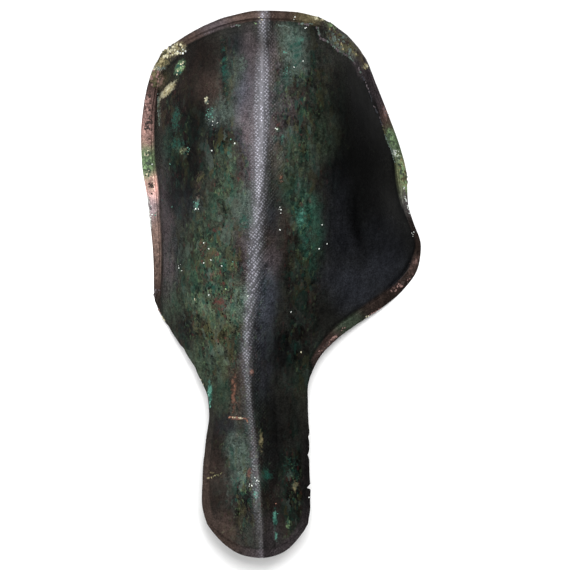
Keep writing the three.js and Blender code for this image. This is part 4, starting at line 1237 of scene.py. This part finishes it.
class GREAVE_OT_crust(bpy.types.Operator):
    """Grow the thick crust on the hem and the corners, with the white lumps of a painted glint on the left
    hem
    """

    bl_idname = "greave.crust"
    bl_label = "Corrosion crust"

    def execute(self, context):
        crust = LumpPiece(context.scene.greave_sheet.seed)
        draw = crust.draw
        for finishes, x, y, across, along, turn, lumps, size, height in CRUSTS:
            cosine = math.cos(math.radians(turn))
            sine = math.sin(math.radians(turn))
            for _ in range(lumps):
                spread = math.sqrt(draw.random())
                bearing = draw.uniform(0, math.tau)
                u = across * spread * math.cos(bearing)
                v = along * spread * math.sin(bearing)
                place, normal = crust.drop(x + u * cosine - v * sine, y + u * sine + v * cosine)
                if place is None:
                    continue
                wide = size * draw.uniform(0.6, 1.3) * (1.15 - 0.4 * spread)
                tall = height * draw.uniform(0.7, 1.3)
                shade = crust.shade(finish_at(finishes, place, draw), 0.3)
                crust.add(place, normal, wide, tall, shade)
        crust.finish("hem_crust_and_glint")
        return {"FINISHED"}


class GREAVE_OT_edges(bpy.types.Operator):
    """Set the raw edges of torn layers along their charted lines"""

    bl_idname = "greave.edges"
    bl_label = "Raw edges"

    def execute(self, context):
        edges = LumpPiece(context.scene.greave_sheet.seed + 2)
        draw = edges.draw
        for finishes, size, height, points in RAW_EDGES:
            for start, end in zip(points, points[1:]):
                steps = max(1, round(math.dist(start, end) / (0.75 * size)))
                for i in range(steps):
                    share = (i + draw.uniform(-0.3, 0.3)) / steps
                    x, y = (
                        a + (b - a) * share + draw.uniform(-0.35, 0.35) for a, b in zip(start, end)
                    )
                    place, normal = edges.drop(x, y)
                    if place is None or draw.random() < 0.12:
                        continue
                    wide = size * draw.uniform(0.7, 1.3)
                    tall = height * draw.uniform(0.7, 1.3)
                    shade = edges.shade(finish_at(finishes, place, draw), 0.25)
                    edges.add(place, normal, wide, tall, shade)
        edges.finish("raw_edges")
        return {"FINISHED"}


class GREAVE_OT_specks(bpy.types.Operator):
    """Scatter the small bright specks, some of them painted glints, at their charted places"""

    bl_idname = "greave.specks"
    bl_label = "Mineral specks"

    def execute(self, context):
        specks = LumpPiece(context.scene.greave_sheet.seed + 1)
        draw = specks.draw
        for finish, x, y, size, count in SPECKS:
            for i in range(count):
                reach = 0.0 if i == 0 else draw.uniform(0.6, 1.4) * math.sqrt(count)
                bearing = draw.uniform(0, math.tau)
                place, normal = specks.drop(
                    x + reach * math.cos(bearing), y + reach * math.sin(bearing)
                )
                if place is None:
                    continue
                wide = size * (1.0 if i == 0 else draw.uniform(0.4, 0.8))
                specks.add(place, normal, wide, 0.45 * wide, specks.shade(finish, 0.22))
        specks.finish("specks_and_glints")
        return {"FINISHED"}


class GREAVE_OT_finishes(bpy.types.Operator):
    """Make the node groups and the materials that the pieces use"""

    bl_idname = "greave.finishes"
    bl_label = "Finishes"

    def execute(self, context):
        groups = {
            "ragged": ragged_group(), "mineral": mineral_group(), "film": film_group(),
        }
        bronze_material(groups)
        crust_and_glint_material(groups)
        return {"FINISHED"}


# The studio


def add_light(name, place, size, power):
    """A square soft light that faces the greave."""
    data = bpy.data.lights.new(name, "AREA")
    data.shape = "SQUARE"
    data.size = size
    data.energy = power
    light = bpy.data.objects.new(name, data)
    light.location = place
    way = Vector((0, 0, GREAVE_MIDDLE)) - light.location
    light.rotation_euler = way.to_track_quat("-Z", "Y").to_euler()
    bpy.context.scene.collection.objects.link(light)


def add_floor(colour):
    """A plain pale floor of paper."""
    bm = bmesh.new()
    bmesh.ops.create_grid(bm, x_segments=1, y_segments=1, size=3.0)
    mesh = bpy.data.meshes.new("floor")
    bm.to_mesh(mesh)
    bm.free()
    floor = bpy.data.objects.new("floor", mesh)
    bpy.context.scene.collection.objects.link(floor)
    material, shader, surface = new_material("floor_paper")
    paper = shader.grain(shader.node("ShaderNodeTexCoord").outputs["Object"], 60.0)
    tone = shader.blend(shader.ramp(paper, 0.3, 0.7), (*colour, 1.0),
                        (*(0.985 * part for part in colour), 1.0))
    shader.feed(surface["Base Color"], tone)
    surface["Roughness"].default_value = 0.9
    mesh.materials.append(material)


def add_camera(height, view_width):
    """A camera straight above the greave, whose picture is view_width wide at the lens plane."""
    data = bpy.data.cameras.new("camera")
    camera = bpy.data.objects.new("camera", data)
    bpy.context.scene.collection.objects.link(camera)
    camera.location = (2.64 * MM, -0.33 * MM, height)
    data.sensor_width = 36.0
    data.lens = data.sensor_width * (height - LENS_PLANE) / view_width
    data.clip_start = 0.01
    data.clip_end = 50.0
    bpy.context.scene.camera = camera


class GREAVE_OT_studio(bpy.types.Operator):
    """Set the floor, the lights and the camera"""

    bl_idname = "greave.studio"
    bl_label = "Studio"

    def execute(self, context):
        scene = context.scene
        studio = scene.greave_studio
        add_floor(tuple(studio.floor_colour))
        add_camera(studio.camera_height, studio.view_width)
        add_light("left_light", (-1.1, 0.15, 0.75), 0.9, studio.key_power)
        add_light("top_light", (0.12, 0.3, 2.0), 0.7, studio.top_power)

        world = bpy.data.worlds.new("studio")
        scene.world = world
        world.use_nodes = True
        sky = world.node_tree.nodes["Background"].inputs
        sky["Color"].default_value = (1, 1, 1, 1)
        sky["Strength"].default_value = 0.25
        scene.view_settings.view_transform = "Standard"
        return {"FINISHED"}


class GREAVE_PT_panel(bpy.types.Panel):
    """Lists the greave's pieces and their settings"""

    bl_label = "Bronze greave"
    bl_idname = "GREAVE_PT_panel"
    bl_space_type = "VIEW_3D"
    bl_region_type = "UI"
    bl_category = "Greave"

    def draw(self, context):
        for group in ("greave_sheet", "greave_patina", "greave_studio"):
            settings = getattr(context.scene, group)
            box = self.layout.box()
            for name in settings.__annotations__:
                box.prop(settings, name)
        for operator in OPERATORS:
            self.layout.operator(operator.bl_idname)


OPERATORS = (
    GREAVE_OT_finishes,
    GREAVE_OT_sheet,
    GREAVE_OT_crust,
    GREAVE_OT_edges,
    GREAVE_OT_specks,
    GREAVE_OT_studio,
)
CLASSES = (SheetSettings, PatinaAndLightSettings, StudioSettings, *OPERATORS, GREAVE_PT_panel)


def register():
    for item in CLASSES:
        bpy.utils.register_class(item)
    bpy.types.Scene.greave_sheet = PointerProperty(type=SheetSettings)
    bpy.types.Scene.greave_patina = PointerProperty(type=PatinaAndLightSettings)
    bpy.types.Scene.greave_studio = PointerProperty(type=StudioSettings)


def unregister():
    del bpy.types.Scene.greave_studio
    del bpy.types.Scene.greave_patina
    del bpy.types.Scene.greave_sheet
    for item in reversed(CLASSES):
        bpy.utils.unregister_class(item)


def main():
    register()
    bpy.ops.greave.finishes()
    bpy.ops.greave.sheet()
    bpy.ops.greave.crust()
    bpy.ops.greave.edges()
    bpy.ops.greave.specks()
    bpy.ops.greave.studio()
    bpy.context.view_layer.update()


if __name__ == "__main__":
    main()
